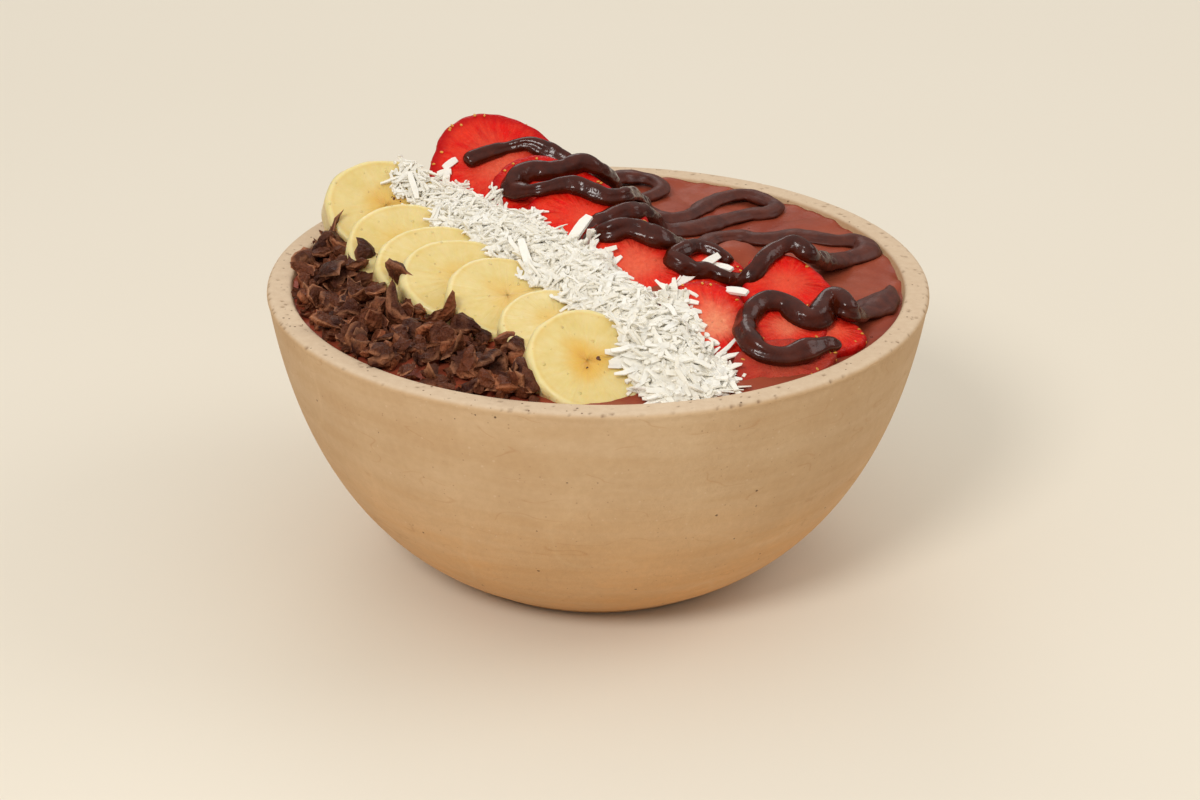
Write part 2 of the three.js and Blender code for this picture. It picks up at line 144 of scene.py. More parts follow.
# Chocolate sauce: the two routes of the zigzag, from the back to the front
SAUCE_MAIN = (
    (-37, 51, 89.5), (-34, 52.5, 90.5), (-30, 54, 91.5), (-25, 55.5, 92.5), (-19.5, 56, 93.5),
    (-15, 55, 92), (-10.5, 53, 90.5), (-6.5, 52.5, 87.5), (-2.5, 60, 81), (2, 70, 77.5),
    (6, 74, 77.5), (10.5, 74, 77.5), (15.5, 72, 77.3), (17.5, 65, 77.3), (14, 58.5, 77.5),
    (9.5, 57, 77.5), (6, 55, 79), (3, 48, 86), (-1, 42.5, 91.5), (-4.5, 42.5, 93),
    (-9, 41, 92), (-13, 39.5, 91.5), (-17.5, 39.5, 91.5), (-21, 38, 91), (-23, 35.5, 89.5),
    (-22, 33, 88), (-17.5, 28, 90), (-13.5, 28, 91), (-9, 29, 91.5), (-5, 29, 91),
    (-1.5, 27.5, 90), (2.5, 26.5, 89), (6, 27.5, 89), (9, 36, 86), (11.5, 43, 80.5),
    (14.5, 43.5, 77.5), (17.5, 41, 77.3), (22, 42, 77.3), (26, 46.5, 77.3), (30.5, 55, 77),
    (36, 61, 76.7), (41.5, 62.5, 76.7), (45.5, 59.5, 76.5), (49, 54.5, 76.5), (46, 48.5, 76.7),
    (41, 47, 76.7), (36.5, 43.5, 77), (31.5, 39, 77.3), (27, 35.5, 77.3), (22, 33.5, 77.3),
    (17.5, 33, 77.8), (14.5, 30.5, 81), (12, 26.5, 84.5), (8.5, 22.5, 86.5), (5, 21.5, 86),
    (1.5, 19, 85), (-2, 16, 84), (-3.5, 9.5, 84.5), (-1, 4, 86.5), (2, -0.5, 89),
    (5.5, 0.5, 90), (9, 0.5, 90), (12.5, -0.5, 89), (16, -1.5, 88), (20, 4, 84),
    (23, 13, 79.5), (26.5, 21.5, 77.3), (30.5, 27.5, 77.2), (34.5, 29.5, 77), (38.5, 30, 77),
    (42.5, 27.5, 77), (47, 28, 77), (51, 30, 77), (55.5, 29.5, 77), (59.5, 28, 77),
    (64, 27, 76.8), (68.5, 28, 76.5), (71, 25.5, 76.3), (71, 20.5, 76.5), (67.5, 16.5, 76.6),
    (63.5, 13.5, 76.8), (58.5, 5, 79.5), (54, -6, 85.5), (51.5, -5, 87.5), (48.5, -4.5, 88),
    (44.5, -7, 87), (41.5, -10.5, 86), (39.5, -13, 84), (37, -14, 82), (34.5, -9.5, 80.5),
    (31.5, -9, 81), (28, -7.5, 82), (24, -8, 82), (21, -8, 84), (18.5, -6, 85),
    (21.5, -3.5, 86), (25, 1, 85), (28.5, 1, 84.5), (31.5, -0.5, 83.5), (34.5, -3.5, 82.5),
)
SAUCE_FRONT = (
    (75, -2, 76.2), (74.5, -7.5, 76.2), (71.5, -14.5, 76.4), (68, -21, 76.7), (64.5, -29.5, 79),
    (61.5, -35, 82.5), (60, -32.5, 84.5), (57.5, -31, 84.5), (55.5, -33.5, 83.5), (53.5, -38, 82),
    (51.5, -39.5, 82), (49, -38, 83), (46, -35.5, 84.5), (43, -35, 85), (39.5, -36.5, 85),
    (37, -40, 84), (36, -44.5, 82.5), (36.5, -51, 82), (38.5, -54.5, 80.5), (41.5, -55.5, 79.5),
    (45.5, -54.5, 79), (49.5, -52.5, 79.5), (53, -50.5, 79.5), (56, -49, 80), (57, -48.5, 79),
    (59, -46.5, 79),
)
SAUCE_STEP = 0.6
SAUCE_AROUND = 28
SAUCE_END = 3.2
# Half width and half height where the sauce lies on the acai, and what the fruit adds to them
SAUCE_HALF_WIDE = (3.05, -0.35)
SAUCE_HALF_HIGH = (1.45, 0.95)
# Factors on both at even steps along each route
SAUCE_MAIN_WIDTHS = (1.1, 1.05, 0.9, 1.0, 1.05, 1.0, 0.95, 1.0, 1.0, 1.05, 1.0, 1.0, 0.7, 0.7)
SAUCE_FRONT_WIDTHS = (0.12, 1.05, 1.5, 1.15, 0.9, 1.0, 1.1, 1.15, 1.05, 1.1, 1.2, 1.1, 1.0, 0.95, 0.7)

# Coconut
COCONUT_CREST = (
    (-43.5, 37, 86), (-31, 17.5, 87.5), (-18.5, 3, 87.5), (-7, -13.5, 87), (4.5, -33, 85.5),
    (16, -53.5, 83), (20, -65, 78.5),
)
COCONUT_HALF_WIDTH = 11.5
COCONUT_HALF_HEIGHT = 9.0
COCONUT_REACH = 76.5
# Shreds, grated bits and strays: how many, how far out as a share of the half width, the least
# and most length, width, thickness and lift, and the tilt
COCONUT_LAYERS = (
    (2300, 1.0, (4.0, 11.5), (0.8, 1.9), (0.35, 0.6), (0.0, 1.3), 0.2),
    (1500, 1.06, (1.2, 4.0), (0.7, 1.3), (0.4, 0.8), (0.2, 1.7), 0.45),
    (90, 1.3, (1.5, 5.0), (0.7, 1.2), (0.3, 0.6), (0.2, 0.5), 0.1),
)
COCONUT_CORE = 0.97
STRIP_SECTIONS = 5
STRIP_POINTS = 4 * STRIP_SECTIONS
# Long shreds that stand out: middle, direction along, length, width, thickness
SINGLE_SHREDS = (
    ((-18.0, -16.0, 88.0), (0.15, -0.8, -0.35), 14.5, 2.2, 0.8),
    ((-5.0, 1.0, 89.5), (0.55, 0.65, 0.45), 10.0, 2.8, 1.0),
    ((25.4, -8.0, 82.3), (0.75, 0.6, 0.25), 15.0, 2.2, 0.9),
    ((30.9, -6.0, 82.3), (0.6, -0.7, 0.1), 9.0, 1.9, 0.9),
    ((33.9, -34.0, 87.1), (0.6, -0.6, 0.1), 7.0, 2.0, 0.9),
    ((-49.5, 33.0, 89.5), (-0.2, 0.6, 0.6), 8.0, 1.6, 0.7),
    ((-40.6, 51.2, 89.2), (0.7, 0.4, 0.3), 4.5, 2.0, 0.8),
    ((-42.1, 49.0, 87.3), (0.9, -0.1, 0.2), 4.0, 2.0, 0.8),
    ((-41.6, 47.2, 85.6), (0.2, 0.5, 0.8), 5.0, 2.0, 0.8),
)

# Cacao nibs
NIB_BED = (
    (-66, 22), (-66.5, 8), (-62, -3), (-56, -12), (-49, -24), (-38, -34), (-27, -44), (-20, -52),
    (-16, -62), (-14, -73),
)
NIB_BED_RADIUS = 78.0
# Layers of the bed: how many, lowest and highest above the acai, smallest and largest half size
NIB_LAYERS = (
    (180, 0.0, 1.0, 1.6, 2.7),
    (92, 0.8, 2.2, 2.6, 4.2),
    (34, 1.8, 3.4, 3.8, 5.6),
    (200, 0.3, 3.4, 0.5, 1.2),
)
NIB_TILT = 0.55
# How far out a nib may lie, low in the bed and above the rim
NIB_LOW_REACH = 78.3
NIB_HIGH_REACH = 80.5
NIB_HIGH_FROM = 79.0
# Nibs that lie on the fruit or stand out: place, half size
SINGLE_NIBS = (
    ((-59.0, 0.5, 83.0), 4.4), ((-55.0, -3.0, 82.5), 3.6), ((-52.5, -8.0, 82.0), 3.4),
    ((-50.0, -16.0, 83.5), 5.2), ((-37.0, -38.0, 81.5), 5.6), ((-32.0, -42.5, 81.0), 5.0),
    ((-62.0, -6.0, 81.5), 4.2),
)

# Seeds of the random draws
BOWL_DRAW = 21
BERRY_SEED_DRAW = 31
BANANA_SEED_DRAW = 41
COCONUT_DRAW = 51
NIB_DRAW = 61
SAUCE_MAIN_DRAW = 71
SAUCE_FRONT_DRAW = 81

# Studio: each light's name, place in metres, size, power and colour
LIGHTS = (
    ("right", (1.1, 0.1, 0.86), 0.8, 3.2, (1.0, 0.985, 0.96)),
    ("left_front", (-0.45, -1.0, 0.95), 0.4, 8.6, (1.0, 0.98, 0.95)),
    ("back", (-0.15, 1.0, 0.75), 0.6, 1.6, (1.0, 0.99, 0.97)),
)
LIGHT_TARGET = (0, 0, 0.06)
FLOOR_HALF = 4000.0
SURROUND_COLOUR = (1.0, 0.975, 0.935, 1.0)
SURROUND_LOW = 0.15
SURROUND_HIGH = 0.92


# Mesh helpers

def new_piece(name, points, quads, material, marks=None, smooth=True):
    """A mesh object from points in millimetres, with one number or vector per point for each
    name in marks. Points that fall together, as at a pole, are merged, and faces turned out."""
    mesh = bpy.data.meshes.new(name)
    points = np.asarray(points, float).reshape(-1, 3)
    quads = np.asarray(quads, np.int64).reshape(-1, 4)
    mesh.vertices.add(len(points))
    mesh.vertices.foreach_set("co", (points * MM).astype(np.float32).ravel())
    mesh.loops.add(quads.size)
    mesh.loops.foreach_set("vertex_index", quads.astype(np.int32).ravel())
    mesh.polygons.add(len(quads))
    mesh.polygons.foreach_set("loop_start", np.arange(0, quads.size, 4, dtype=np.int32))
    mesh.update(calc_edges=True)
    for mark, values in (marks or {}).items():
        values = np.asarray(values, np.float32).reshape(len(points), -1)
        kind, field = ("FLOAT", "value") if values.shape[1] == 1 else ("FLOAT_VECTOR", "vector")
        layer = mesh.attributes.new(mark, kind, "POINT")
        layer.data.foreach_set(field, values.ravel())
    work = bmesh.new()
    work.from_mesh(mesh)
    bmesh.ops.remove_doubles(work, verts=work.verts, dist=1e-6)
    bmesh.ops.recalc_face_normals(work, faces=work.faces)
    for face in work.faces:
        face.smooth = smooth
    work.to_mesh(mesh)
    work.free()
    mesh.materials.append(material)
    piece = bpy.data.objects.new(name, mesh)
    bpy.context.scene.collection.objects.link(piece)
    return piece


def grid_quads(rows, columns):
    """Faces of a grid of rows by columns of points, each row closed into a ring."""
    r, c = np.meshgrid(np.arange(rows - 1), np.arange(columns), indexing="ij")
    c2 = (c + 1) % columns
    return np.stack([r * columns + c, r * columns + c2, (r + 1) * columns + c2,
                     (r + 1) * columns + c], axis=-1).reshape(-1, 4)


def copies_of_quads(quads, points_each, count):
    """The same faces repeated for count copies of a grid."""
    shift = np.arange(count)[:, None, None] * points_each
    return (quads[None, :, :] + shift).reshape(-1, 4)


def unit(vectors):
    """Vectors of length one in the same directions."""
    return vectors / np.maximum(np.linalg.norm(vectors, axis=-1, keepdims=True), 1e-9)


def smooth_step(value, low, high):
    """0 below low, 1 above high, and three t squared less two t cubed between them."""
    t = np.clip((value - low) / (high - low), 0, 1)
    return t * t * (3 - 2 * t)


def ripple(x, y, seed, size):
    """A smooth uneven field: the sum of five plane waves in random directions, each about size
    long, divided by the root of five."""
    layers = 5
    draw = np.random.default_rng(seed)
    total = np.zeros_like(np.asarray(x, float))
    for _ in range(layers):
        angle = draw.uniform(0, 2 * math.pi)
        wave = 2 * math.pi / (size * draw.uniform(0.6, 1.6))
        total = total + np.sin(wave * (x * math.cos(angle) + y * math.sin(angle))
                               + draw.uniform(0, 2 * math.pi))
    return total / math.sqrt(layers)


def smooth_route(points, step):
    """Points about every step millimetres along a Catmull-Rom curve through the given ones, and
    how far along each lies."""
    p = np.asarray(points, float)
    ends = np.vstack([2 * p[0] - p[1], p, 2 * p[-1] - p[-2]])
    t = np.linspace(0, 1, 24, endpoint=False)[None, :, None]
    a, b, c, d = (ends[i:len(ends) - 3 + i][:, None, :] for i in range(4))
    curve = 0.5 * (2 * b + (c - a) * t + (2 * a - 5 * b + 4 * c - d) * t ** 2
                   + (3 * b - a - 3 * c + d) * t ** 3)
    curve = np.vstack([curve.reshape(-1, 3), p[-1]])
    length = np.concatenate([[0], np.cumsum(np.linalg.norm(np.diff(curve, axis=0), axis=1))])
    marks = np.linspace(0, length[-1], max(4, int(length[-1] / step)))
    return np.stack([np.interp(marks, length, curve[:, k]) for k in range(3)], axis=1), marks


# Shapes that several pieces share

def wall_radius(z, bottom, rim_radius):
    """Half width of the bowl at height z: a super-ellipse that reaches rim_radius at the rim."""
    def shape(height):
        depth = CURVE_CENTRE - bottom
        return (1 - ((CURVE_CENTRE - height) / depth) ** CURVE_POWER) ** (1 / CURVE_POWER)
    return rim_radius * shape(np.asarray(z, float)) / shape(RIM_HEIGHT)


def inner_radius(z):
    """Radius of the bowl's inner face at height z."""
    return wall_radius(z, FLOOR_THICKNESS, RIM_RADIUS - RIM_WALL)


def outer_radius(z):
    """Radius of the bowl's outer face at height z."""
    return wall_radius(z, -CURVE_BELOW_TABLE, RIM_RADIUS)


def line_distance(x, y, line):
    """Distance in plan to a broken line, and how far along it the nearest point lies, 0 to 1."""
    line = np.asarray(line, float)
    best = np.full(np.shape(x), 1e9)
    where = np.zeros(np.shape(x))
    steps = len(line) - 1
    for i in range(steps):
        (ax, ay), (bx, by) = line[i][:2], line[i + 1][:2]
        t = np.clip(((x - ax) * (bx - ax) + (y - ay) * (by - ay))
                    / ((bx - ax) ** 2 + (by - ay) ** 2), 0, 1)
        d = np.hypot(x - ax - t * (bx - ax), y - ay - t * (by - ay))
        nearer = d < best
        best = np.where(nearer, d, best)
        where = np.where(nearer, (i + t) / steps, where)
    return best, where


def acai_level(x, y):
    """Height of the blend: the solids' crown, swirl, lump and mounds under the fruit."""
    outward = np.minimum(1, np.hypot(x, y) / 78)
    z = ACAI_LEVEL + ACAI_CROWN * (1 - outward ** 2)
    z = z + 0.5 * np.sin(0.11 * x + 0.05 * y) * np.sin(0.09 * y - 0.03 * x + 1)
    from_lump = np.hypot(x - LUMP[0], y - LUMP[1]) / LUMP[3]
    z = z + LUMP[2] * np.exp(-from_lump ** 3)
    for line in FRUIT_MOUNDS:
        near = np.exp(-((line_distance(x, y, line)[0] / MOUND_SPREAD) ** 2))
        z = z + MOUND_HEIGHT * near * (1 - outward ** 6)
    return z


def slice_axes(lean, toward, spin=0):
    """The three directions of a slice: along its length, across it, and out of its cut face."""
    t, a, s = (math.radians(v) for v in (lean, toward, spin))
    out = np.array([math.sin(t) * math.sin(a), -math.sin(t) * math.cos(a), math.cos(t)])
    level = np.array([math.cos(a), math.sin(a), 0.0])
    slope = np.cross(out, level)
    return (math.cos(s) * level + math.sin(s) * slope,
            -math.sin(s) * level + math.cos(s) * slope, out)


def banana_outline(angle, across, rise, number):
    """An oval with three faint lobes, a little flattened between them."""
    lobes = 1 + 0.018 * np.cos(3 * angle + 1.7 * number) + 0.008 * np.cos(5 * angle + number)
    return np.stack([across * lobes * np.cos(angle), rise * lobes * np.sin(angle)], axis=-1)


def berry_outline(angle, half_long, half_wide, number):
    """An oval that narrows towards the tip, with a slightly uneven edge."""
    c = np.cos(angle)
    taper = 1 - BERRY_TAPER * c - BERRY_NOSE * c * c
    uneven = 1 + 0.014 * np.cos(5 * angle + 2.1 * number) + 0.008 * np.cos(9 * angle + number)
    uneven = uneven + 0.005 * np.cos(23 * angle + 3 * number)
    return np.stack([half_long * c, half_wide * np.sin(angle) * taper], axis=-1) * uneven[..., None]


def fruit_level(x, y):
    """Height of the highest cut face over each point in plan, or a very low number."""
    best = np.full(np.shape(x), -1e3)
    for slices, is_berry in ((BANANAS, False), (BERRIES, True)):
        for row in slices:
            px, py, pz, half_a, half_b, lean, toward = row[:7]
            long_way, wide_way, out = slice_axes(lean, toward, row[7] if is_berry else 0)
            z = pz - (out[0] * (x - px) + out[1] * (y - py)) / out[2]
            off = np.stack([x - px, y - py, z - pz], axis=-1)
            a, b = off @ long_way / half_a, off @ wide_way / half_b
            taper = 1 - BERRY_TAPER * a - BERRY_NOSE * a * a if is_berry else 1.0
            within = (np.abs(a) < 1) & (np.abs(b) < np.sqrt(np.clip(1 - a * a, 0, 1)) * taper)
            best = np.where(within, np.maximum(best, z), best)
    return best


def coconut_level(x, y):
    """Height of the coconut heap: a rounded ridge along its crest with small uneven lumps."""
    d, along = line_distance(x, y, COCONUT_CREST)
    crest = np.asarray(COCONUT_CREST, float)
    top = np.interp(along, np.linspace(0, 1, len(crest)), crest[:, 2])
    width = COCONUT_HALF_WIDTH * (1 + 0.09 * ripple(x, y, 3, 14))
    round_part = np.sqrt(np.clip(1 - (d / width) ** 2, 0, 1))
    z = top - COCONUT_HALF_HEIGHT * (1 - round_part) + 0.7 * ripple(x, y, 4, 6) * round_part
    return np.where(d < width, z, -1e3)


def topping_level(x, y):
    """Height of whatever lies highest: the blend, the fruit or the coconut."""
    return np.maximum(np.maximum(acai_level(x, y), fruit_level(x, y)), coconut_level(x, y))


def level_normal(level, x, y, reach=1.2):
    """Upward normal of a height field, from differences over reach millimetres, not too steep."""
    dx = (level(x + reach, y) - level(x - reach, y)) / (2 * reach)
    dy = (level(x, y + reach) - level(x, y - reach)) / (2 * reach)
    steep = np.maximum(1, np.hypot(dx, dy) / 1.1)
    return unit(np.stack([-dx / steep, -dy / steep, np.ones_like(dx)], axis=-1))


# Materials

def node_tree_tools(tree):
    """Two short ways to work in a node tree: add a node with its values, and join sockets."""
    def add(kind, values=None, **settings):
        node = tree.nodes.new(kind)
        for key, value in settings.items():
            setattr(node, key, value)
        for key, value in (values or {}).items():
            if hasattr(value, "is_output"):
                tree.links.new(value, node.inputs[key])
            else:
                node.inputs[key].default_value = value
        return node

    def join(a, b):
        tree.links.new(a, b)

    return add, join


def new_group(name, inputs, outputs):
    """An empty node group with the named inputs and outputs, as (group, add, join, in, out)."""
    group = bpy.data.node_groups.new(name, "ShaderNodeTree")
    for label, kind, value in inputs:
        socket = group.interface.new_socket(label, in_out="INPUT", socket_type=kind)
        if value is not None:
            socket.default_value = value
    for label, kind in outputs:
        group.interface.new_socket(label, in_out="OUTPUT", socket_type=kind)
    add, join = node_tree_tools(group)
    return group, add, join, add("NodeGroupInput").outputs, add("NodeGroupOutput").inputs


VECTOR = "NodeSocketVector"
FLOAT = "NodeSocketFloat"


def specks_group():
    """Round specks of uneven size: one in each cell of a Voronoi pattern, where the cell's
    random number is under Share."""
    group, add, join, given, result = new_group(
        "specks", [("Vector", VECTOR, None), ("Scale", FLOAT, 300.0), ("Size", FLOAT, 0.3),
                   ("Share", FLOAT, 0.3)], [("Mask", FLOAT)])
    cells = add("ShaderNodeTexVoronoi", {"Vector": given["Vector"], "Scale": given["Scale"]})
    draw = add("ShaderNodeSeparateColor", {"Color": cells.outputs["Color"]})
    spread = add("ShaderNodeMath", {0: draw.outputs[1], 1: 0.7, 2: 0.3}, operation="MULTIPLY_ADD")
    radius = add("ShaderNodeMath", {0: spread.outputs[0], 1: given["Size"]}, operation="MULTIPLY")
    core = add("ShaderNodeMath", {0: radius.outputs[0], 1: 0.6}, operation="MULTIPLY")
    inside = add("ShaderNodeMapRange", {
        "Value": cells.outputs["Distance"], "From Min": core.outputs[0],
        "From Max": radius.outputs[0], "To Min": 1.0, "To Max": 0.0})
    chosen = add("ShaderNodeMath", {0: draw.outputs[0], 1: given["Share"]}, operation="LESS_THAN")
    both = add("ShaderNodeMath", {0: inside.outputs[0], 1: chosen.outputs[0]}, operation="MULTIPLY")
    join(both.outputs[0], result["Mask"])
    return group


def mottle_group():
    """An uneven mask from 0 to 1: noise at one scale with its contrast raised."""
    group, add, join, given, result = new_group(
        "mottle", [("Vector", VECTOR, None), ("Scale", FLOAT, 80.0), ("Detail", FLOAT, 4.0),
                   ("Contrast", FLOAT, 0.25)], [("Mask", FLOAT)])
    noise = add("ShaderNodeTexNoise", {"Vector": given["Vector"], "Scale": given["Scale"],
                                       "Detail": given["Detail"], "Roughness": 0.6})
    low = add("ShaderNodeMath", {0: 0.5, 1: given["Contrast"]}, operation="SUBTRACT")
    high = add("ShaderNodeMath", {0: 0.5, 1: given["Contrast"]}, operation="ADD")
    mask = add("ShaderNodeMapRange", {"Value": noise.outputs["Fac"], "From Min": low.outputs[0],
                                      "From Max": high.outputs[0]})
    join(mask.outputs[0], result["Mask"])
    return group


def relief_group():
    """A normal roughened by noise with finer noise in it. Height is how many millimetres the
    noise is high, and Extra is a height added to it."""
    group, add, join, given, result = new_group(
        "relief", [("Vector", VECTOR, None), ("Scale", FLOAT, 600.0), ("Height", FLOAT, 0.1),
                   ("Extra", FLOAT, 0.0)], [("Normal", VECTOR)])
    coarse = add("ShaderNodeTexNoise", {"Vector": given["Vector"], "Scale": given["Scale"],
                                        "Detail": 3.0, "Roughness": 0.55})
    scaled = add("ShaderNodeMath", {0: coarse.outputs["Fac"], 1: given["Height"],
                                    2: given["Extra"]}, operation="MULTIPLY_ADD")
    bump = add("ShaderNodeBump", {"Strength": 1.0, "Distance": MM, "Height": scaled.outputs[0]})
    join(bump.outputs["Normal"], result["Normal"])
    return group


def hairlines_group():
    """Thin curved lines: where noise crosses its middle value, kept only in some patches."""
    group, add, join, given, result = new_group(
        "hairlines", [("Vector", VECTOR, None), ("Scale", FLOAT, 40.0), ("Width", FLOAT, 0.01),
                      ("Share", FLOAT, 0.4)], [("Mask", FLOAT)])
    noise = add("ShaderNodeTexNoise", {"Vector": given["Vector"], "Scale": given["Scale"],
                                       "Detail": 1.5})
    away = add("ShaderNodeMath", {0: noise.outputs["Fac"], 1: 0.5}, operation="SUBTRACT")
    away = add("ShaderNodeMath", {0: away.outputs[0]}, operation="ABSOLUTE")
    line = add("ShaderNodeMapRange", {"Value": away.outputs[0], "From Min": 0.0,
                                      "From Max": given["Width"], "To Min": 1.0, "To Max": 0.0})
    other = add("ShaderNodeMath", {0: given["Scale"], 1: 1.7}, operation="MULTIPLY")
    where = add("ShaderNodeTexNoise", {"Vector": given["Vector"], "Scale": other.outputs[0],
                                       "Detail": 0.0})
    edge = add("ShaderNodeMath", {0: given["Share"], 1: 0.08}, operation="ADD")
    kept = add("ShaderNodeMapRange", {"Value": where.outputs["Fac"], "From Min": given["Share"],
                                      "From Max": edge.outputs[0], "To Min": 1.0, "To Max": 0.0})
    both = add("ShaderNodeMath", {0: line.outputs[0], 1: kept.outputs[0]}, operation="MULTIPLY")
    join(both.outputs[0], result["Mask"])
    return group


GROUPS = {}


def linear(red, green, blue):
    """A colour given as 0 to 255 screen values, as the linear values that shaders use: the
    curved part of the standard screen curve above 10, and its straight part below."""
    return tuple(((v / 255 + 0.055) / 1.055) ** 2.4 if v > 10 else v / 3294
                 for v in (red, green, blue)) + (1.0,)


class Finish:
    """A material with its Principled shader, and short ways to add to its nodes."""

    def __init__(self, name, **shader_values):
        self.material = bpy.data.materials.new(name)
        self.material.use_nodes = True
        tree = self.material.node_tree
        self.shader = next(n for n in tree.nodes if n.type == "BSDF_PRINCIPLED")
        for key, value in shader_values.items():
            self.shader.inputs[key.replace("_", " ")].default_value = value
        self.add, self.join = node_tree_tools(tree)
        self.place = self.add("ShaderNodeTexCoord").outputs["Object"]

    def group(self, name, vector=None, **values):
        """The output of a shared group, read at the object's own coordinates unless told."""
        node = self.add("ShaderNodeGroup", node_tree=GROUPS[name])
        self.join(vector or self.place, node.inputs["Vector"])
        for key, value in values.items():
            if hasattr(value, "is_output"):
                self.join(value, node.inputs[key])
            else:
                node.inputs[key].default_value = value
        return node.outputs[0]

    def blend(self, mask, low, high):
        """Colour low where the mask is 0 and high where it is 1."""
        node = self.add("ShaderNodeMix", data_type="RGBA")
        for socket, value in ((0, mask), (6, low), (7, high)):
            if hasattr(value, "is_output"):
                self.join(value, node.inputs[socket])
            else:
                node.inputs[socket].default_value = value
        return node.outputs[2]

    def maths(self, operation, *values):
        """A sum, product or other operation on numbers and sockets, as the socket it gives."""
        node = self.add("ShaderNodeMath", operation=operation)
        for i, value in enumerate(values):
            if hasattr(value, "is_output"):
                self.join(value, node.inputs[i])
            else:
                node.inputs[i].default_value = value
        return node.outputs[0]

    def over(self, body, mask, share, colour):
        """The body colour, covered by another colour by the mask times share."""
        return self.blend(self.maths("MULTIPLY", mask, share), body, colour)

    def ramp(self, value, low, high, out_low=0.0, out_high=1.0):
        """A soft step from out_low, at the value low, to out_high, at the value high."""
        node = self.add("ShaderNodeMapRange", {
            "Value": value, "From Min": low, "From Max": high, "To Min": out_low,
            "To Max": out_high}, interpolation_type="SMOOTHSTEP")
        return node.outputs[0]

    def mark(self, name, output="Fac"):
        """A mark that new_piece stored on the points."""
        return self.add("ShaderNodeAttribute", attribute_name=name).outputs[output]

    def use(self, **links):
        """Join the outputs to the shader's sockets of those names; gives the material."""
        for key, value in links.items():
            self.join(value, self.shader.inputs[key.replace("_", " ")])
        return self.material


def cast_stone():
    """Sandy cast stone: cloudy tan, warmer low down, with fine brown and pale grains, small
    dark pits, curved hairlines and faint level streaks. The mark 'rim' is 1 on the flat of the
    rim, which is paler, and 'pit' is 1 in the middle of a dent."""
    finish = Finish("cast_stone", Roughness=0.8, Specular_IOR_Level=0.3)
    cloud = finish.group("mottle", Scale=20.0, Detail=6.0, Contrast=0.16)
    patch = finish.group("mottle", Scale=62.0, Detail=5.0, Contrast=0.14)
    fine = finish.group("mottle", Scale=520.0, Detail=3.0, Contrast=0.25)
    flattened = finish.add("ShaderNodeMapping", {"Vector": finish.place, "Scale": (18, 18, 190)})
    streak = finish.group("mottle", flattened.outputs[0], Scale=1.0, Detail=4.0, Contrast=0.12)
    slanted = finish.add("ShaderNodeMapping", {"Vector": finish.place, "Scale": (1.0, 1.0, 2.6),
                                               "Rotation": (0.25, 0.35, 0.0)})
    scratch = finish.group("hairlines", slanted.outputs[0], Scale=46.0, Width=0.010, Share=0.40)
    swirl = finish.group("hairlines", Scale=30.0, Width=0.022, Share=0.5)
    brown = finish.group("specks", Scale=820.0, Size=0.24, Share=0.16)
    dark = finish.group("specks", Scale=420.0, Size=0.15, Share=0.10)
    pale = finish.group("specks", Scale=700.0, Size=0.30, Share=0.10)
    small = finish.group("specks", Scale=560.0, Size=0.22, Share=0.24)
    height = finish.add("ShaderNodeSeparateXYZ", {"Vector": finish.place}).outputs["Z"]
    low_down = finish.ramp(height, 0.0, 0.062, 1.0, 0.0)
    # Warmer, more orange towards the foot, in cloudy patches.
    warm_low_down = finish.maths("MULTIPLY", low_down, finish.ramp(cloud, 0.0, 1.0, 0.45, 0.95))
    body = finish.blend(cloud, linear(194, 158, 117), linear(209, 177, 138))
    body = finish.blend(warm_low_down, body, linear(222, 160, 92))
    body = finish.over(body, swirl, 0.2, linear(222, 190, 148))
    body = finish.over(body, scratch, 0.38, linear(176, 122, 70))
    body = finish.over(body, patch, 0.3, linear(190, 152, 110))
    body = finish.over(body, streak, 0.16, linear(228, 204, 172))
    body = finish.over(body, finish.mark("rim"), 0.7, linear(222, 202, 176))
    body = finish.over(body, fine, 0.24, linear(172, 136, 98))
    body = finish.over(body, pale, 0.2, linear(232, 212, 184))
    body = finish.over(body, brown, 0.42, linear(142, 102, 68))
    body = finish.over(body, dark, 0.8, linear(92, 64, 44))
    body = finish.blend(finish.maths("MULTIPLY", finish.mark("rim"), small), body,
                        linear(118, 92, 72))
    body = finish.blend(finish.mark("pit"), body, linear(122, 94, 72))
    hollow = finish.maths("MULTIPLY", dark, -0.3)
    normal = finish.group("relief", Scale=900.0, Height=0.16, Extra=hollow)
    return finish.use(Base_Color=body, Normal=normal)


def acai_blend():
    """Thick reddish brown blend: soft tonal streaks, tiny holes, pale seeds, a faint sheen."""
    finish = Finish("acai_blend", Roughness=0.4, Specular_IOR_Level=0.12)
    streak = finish.group("mottle", Scale=34.0, Detail=5.0, Contrast=0.18)
    fine = finish.group("mottle", Scale=420.0, Detail=3.0, Contrast=0.25)
    hole = finish.group("specks", Scale=520.0, Size=0.22, Share=0.12)
    seed = finish.group("specks", Scale=300.0, Size=0.14, Share=0.06)
    body = finish.blend(streak, linear(139, 58, 39), linear(160, 78, 53))
    body = finish.over(body, fine, 0.25, linear(126, 54, 42))
    body = finish.over(body, hole, 0.5, linear(88, 38, 30))
    body = finish.over(body, seed, 0.6, linear(206, 160, 120))
    sunk = finish.maths("MULTIPLY", hole, -0.25)
    normal = finish.group("relief", Scale=260.0, Height=0.22, Extra=sunk)
    return finish.use(Base_Color=body, Normal=normal)


